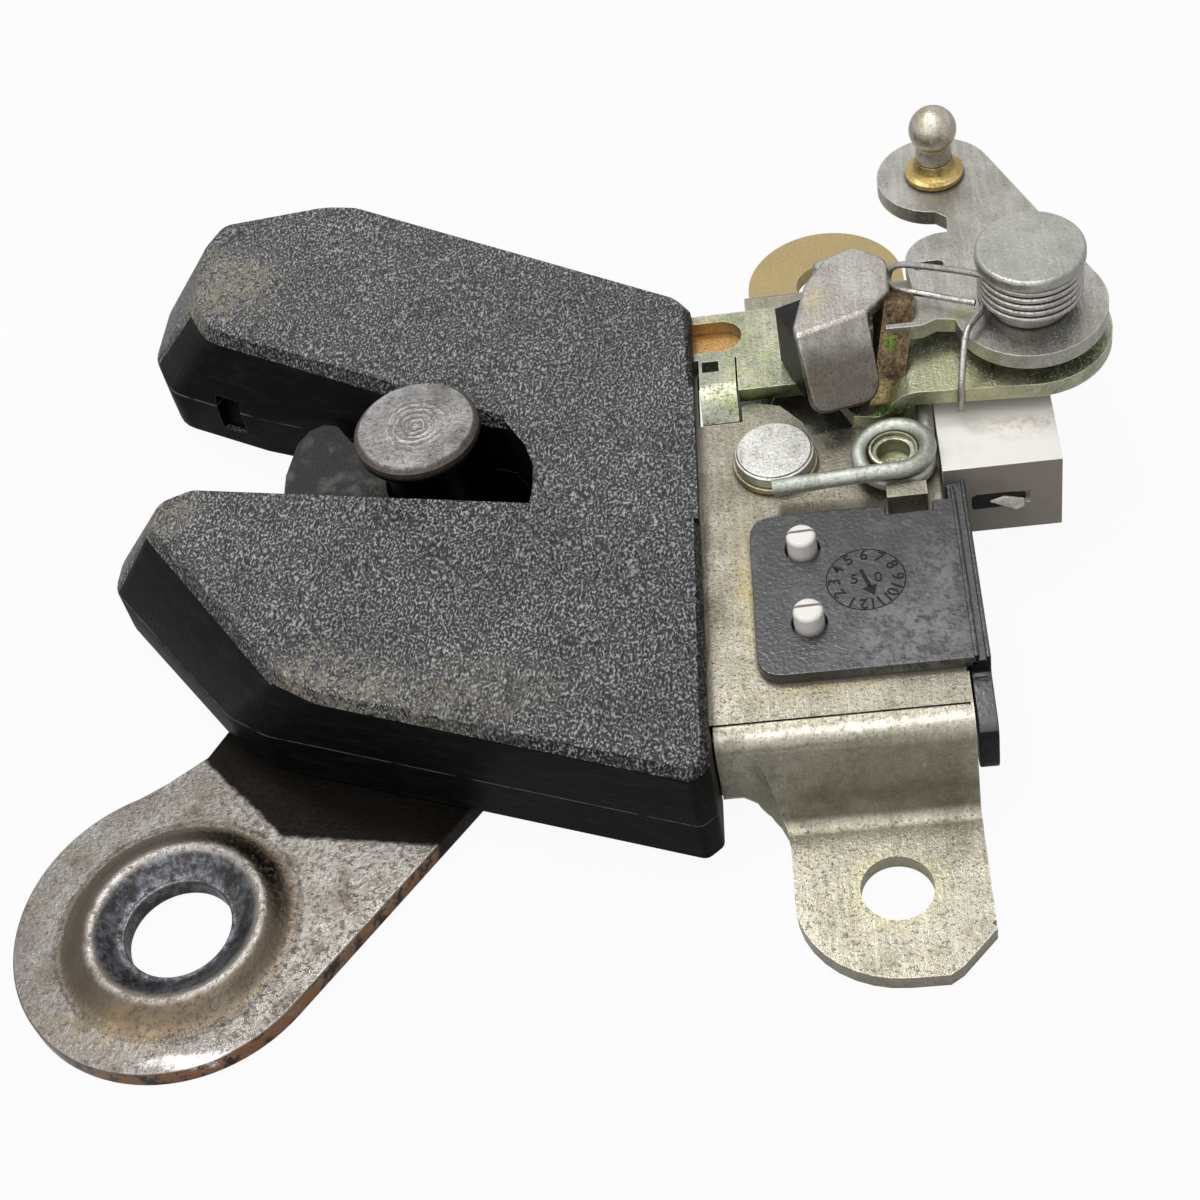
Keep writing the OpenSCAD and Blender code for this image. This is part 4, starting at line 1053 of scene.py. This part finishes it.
def wire(name, points, thickness, node):
    """A round wire through points, which replaces a node."""
    bpy.ops.object.select_all(action="DESELECT")
    bpy.ops.curve.primitive_nurbs_path_add(location=(0, 0, 0))
    piece = bpy.context.object
    piece.name = name
    piece.data.bevel_depth = thickness / 2 * MM
    piece.data.bevel_resolution = 4
    piece.data.use_fill_caps = True
    line = piece.data.splines[0]
    line.points.add(len(points) - len(line.points))
    for knot, place in zip(line.points, points):
        knot.co = (*(value * MM for value in place), 1)
    line.order_u = 3
    line.resolution_u = 3
    bpy.ops.object.convert(target="MESH")
    edit(piece, lambda: bpy.ops.mesh.remove_doubles(threshold=1e-7))
    only(piece)
    bpy.ops.object.shade_smooth_by_angle(angle=math.radians(50))
    settle(piece, node)
    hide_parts(node)
    print(name, "has", len(points), "points")


# %% The three springs
coil = list(turns(COIL, 3.92, 15.55, 2.04, 0, -450))
wire("pawl_spring_wire",
     [(8.75, 56.2, 16.15), (8.7, 53.6, 15.9), (8.6, 50.4, 15.6)] + coil
     + [(1.5, 44.46, 18.0), (-3.0, 44.5, 17.7), (-9.3, 44.53, 17.2)], 2.0, "pawl_spring")
RIVET = (21.8, 62.4)
coil = list(turns(RIVET, 5.6, 26.2, 0.96, 200, -1600))
wire("lever_spring_wire",
     [(12.8, 52.9, 17.9), (12.8, 52.8, 19.5), (12.8, 52.7, 21.0), (13.2, 54.2, 23.8),
      (13.8, 56.8, 26.0), (15.0, 58.8, 26.2)] + coil
     + [(14.6, 62.2, 30.4), (10.5, 65.4, 29.0), (7.2, 67.9, 27.8), (6.2, 68.4, 26.2),
        (6.0, 67.2, 24.8), (7.9, 65.2, 25.9), (15.5, 61.7, 26.0)], 0.8, "lever_spring")
POST = (-33.5, 20.5)
coil = list(turns(POST, 2.55, 5.85, 1.4, 70, -1010))
wire("catch_spring_wire",
     [(-50.5, 33.5, 7.0), (-50.5, 33.5, 6.2), (-50.0, 33.1, 5.85)] + coil
     + [(-28.2, 18.6, 10.05), (-22.4, 17.2, 10.05)], 1.3, "catch_spring")

# %% [markdown]
# ## The dial on the switch cover
# A moulding tool carries a small dial that tells the month a piece was made in:
# a ring of twelve numbers and an arrow. Each number is a Text object turned into
# a mesh and then put in its place, its top away from the centre. The arrow is a
# bar and a flat cone, made pointing straight down and then turned together.


# %% The dial's numbers
DIAL = Vector((0.0, 30.75, 16.0))


def number(words, size, angle, radius):
    """A number that stands on the dial at an angle and a radius."""
    bpy.ops.object.select_all(action="DESELECT")
    bpy.ops.object.text_add(location=(0, 0, 0))
    made = bpy.context.object
    made.data.body = words
    made.data.size = size * MM
    made.data.extrude = 0.05 * MM
    made.data.offset = 0.012 * MM
    made.data.align_x, made.data.align_y = "CENTER", "CENTER"
    bpy.ops.object.convert(target="MESH")
    place = DIAL + Vector((math.cos(angle), math.sin(angle), 0)) * radius
    made.data.transform(Matrix.Translation(place * MM)
                        @ Matrix.Rotation(angle - math.pi / 2, 4, "Z"))
    return made


marks = [number(str(hour), 1.95, math.radians(90 - 30 * (hour - 6)), 3.4)
         for hour in range(1, 13)]
marks += [number("5", 1.9, math.pi / 2, 0), number("0", 1.9, math.pi / 2, 0)]
for mark, move in zip(marks[-2:], (-1.25, 1.35)):
    mark.data.transform(shift(move, 0.1, 0))
print("dial:", len(marks), "numbers")

# %% The dial's ring and arrow
bpy.ops.mesh.primitive_torus_add(major_radius=4.3 * MM, minor_radius=0.07 * MM,
                                 major_segments=64, minor_segments=6,
                                 location=DIAL * MM)
ring = bpy.context.object
bpy.ops.object.transform_apply(location=True)
arrow = block((0.42, 2.7, 0.1), shift(0, 30.9, DIAL.z))
bpy.ops.mesh.primitive_cone_add(vertices=3, radius1=1.0 * MM, radius2=0.95 * MM, depth=0.1 * MM,
                                location=(0, 0, 0))
tip = bpy.context.object
tip.data.transform(shift(0, 29.2, DIAL.z) @ turn(180))
for mark in (tip, arrow):
    mark.data.transform(shift(*DIAL) @ turn(18) @ shift(*-DIAL))
dial = join([arrow, ring, tip] + marks, "switch_dial")
settle(dial, "switch_cover")
repaint(dial, "dial_black")
print("dial:", len(dial.data.polygons), "faces")

# %% [markdown]
# ## The studio
# A white floor carries a faint shadow. A small lamp behind the lock throws the
# cover's shadow onto the striker, as in the photograph. A wide one overhead and
# a wider one in front fill. To the camera the floor glows white, and a mirror on
# the lock sees it dimmer, while it lights the lock as plain grey card.

# %% Floor
FLOOR_WIDTH, FLOOR_LOW = 6, -0.2
bpy.ops.mesh.primitive_plane_add(size=FLOOR_WIDTH, location=(0, 0, FLOOR_LOW * MM))
floor = bpy.context.object
floor.name = "floor"
paper = Finish("paper")
rays = paper.node("ShaderNodeLightPath", output="Is Camera Ray")
glossy = paper.node("ShaderNodeLightPath", output="Is Glossy Ray")
glow = paper.node("ShaderNodeEmission", None, {"Color": (1, 1, 1), "Strength": 1.0})
card = paper.node("ShaderNodeBsdfDiffuse", None, {"Color": (0.6, 0.6, 0.6)})
both = paper.node("ShaderNodeMixShader", None,
                  [paper.larger(rays * 0.94, glossy * 0.3), card, glow])
paper.tree.links.new(both.socket, paper.tree.nodes["Material Output"].inputs["Surface"])
floor.data.materials.append(paper.material)
print("floor:", FLOOR_WIDTH, "m wide, at", FLOOR_LOW, "mm")

# %% World
WORLD_LIGHT = 0.14
world = bpy.data.worlds.new("studio")
bpy.context.scene.world = world
world.use_nodes = True
nodes, links = world.node_tree.nodes, world.node_tree.links
path = nodes.new("ShaderNodeLightPath")
seen = path.outputs["Is Camera Ray"]
for kind in ("Is Transmission Ray", "Is Glossy Ray"):
    either = nodes.new("ShaderNodeMath")
    either.operation = "MAXIMUM"
    links.new(seen, either.inputs[0])
    links.new(path.outputs[kind], either.inputs[1])
    seen = either.outputs[0]
strength = nodes.new("ShaderNodeMapRange")
strength.inputs["To Min"].default_value = WORLD_LIGHT
strength.inputs["To Max"].default_value = 1.0
links.new(seen, strength.inputs["Value"])
background = nodes["Background"]
background.inputs["Color"].default_value = (1, 1, 1, 1)
links.new(strength.outputs[0], background.inputs["Strength"])
print("world: light", WORLD_LIGHT)


# %% Lamps
def lamp(name, direction, distance, size, power):
    """An area lamp in a direction from the lock, aimed at it."""
    toward = Vector(direction).normalized()
    bpy.ops.object.light_add(type="AREA", location=TARGET + toward * distance)
    made = bpy.context.object
    made.name = name
    made.data.size = size
    made.data.energy = power
    made.rotation_mode = "QUATERNION"
    made.rotation_quaternion = toward.to_track_quat("Z", "Y")
    print(name, "lamp:", power, "W,", size, "m wide")


lamp("key", (-0.16, 0.38, 0.9), 0.7, 0.12, 1.0)
lamp("overhead", (-0.1, 0.1, 1.0), 0.8, 0.8, 3.0)
lamp("front", (-0.3, -0.5, 0.8), 1.0, 1.5, 7.5)

# %% [markdown]
# ## Settings
# Standard view keeps the colours as written.

# %% Finish
bpy.context.scene.view_settings.view_transform = "Standard"
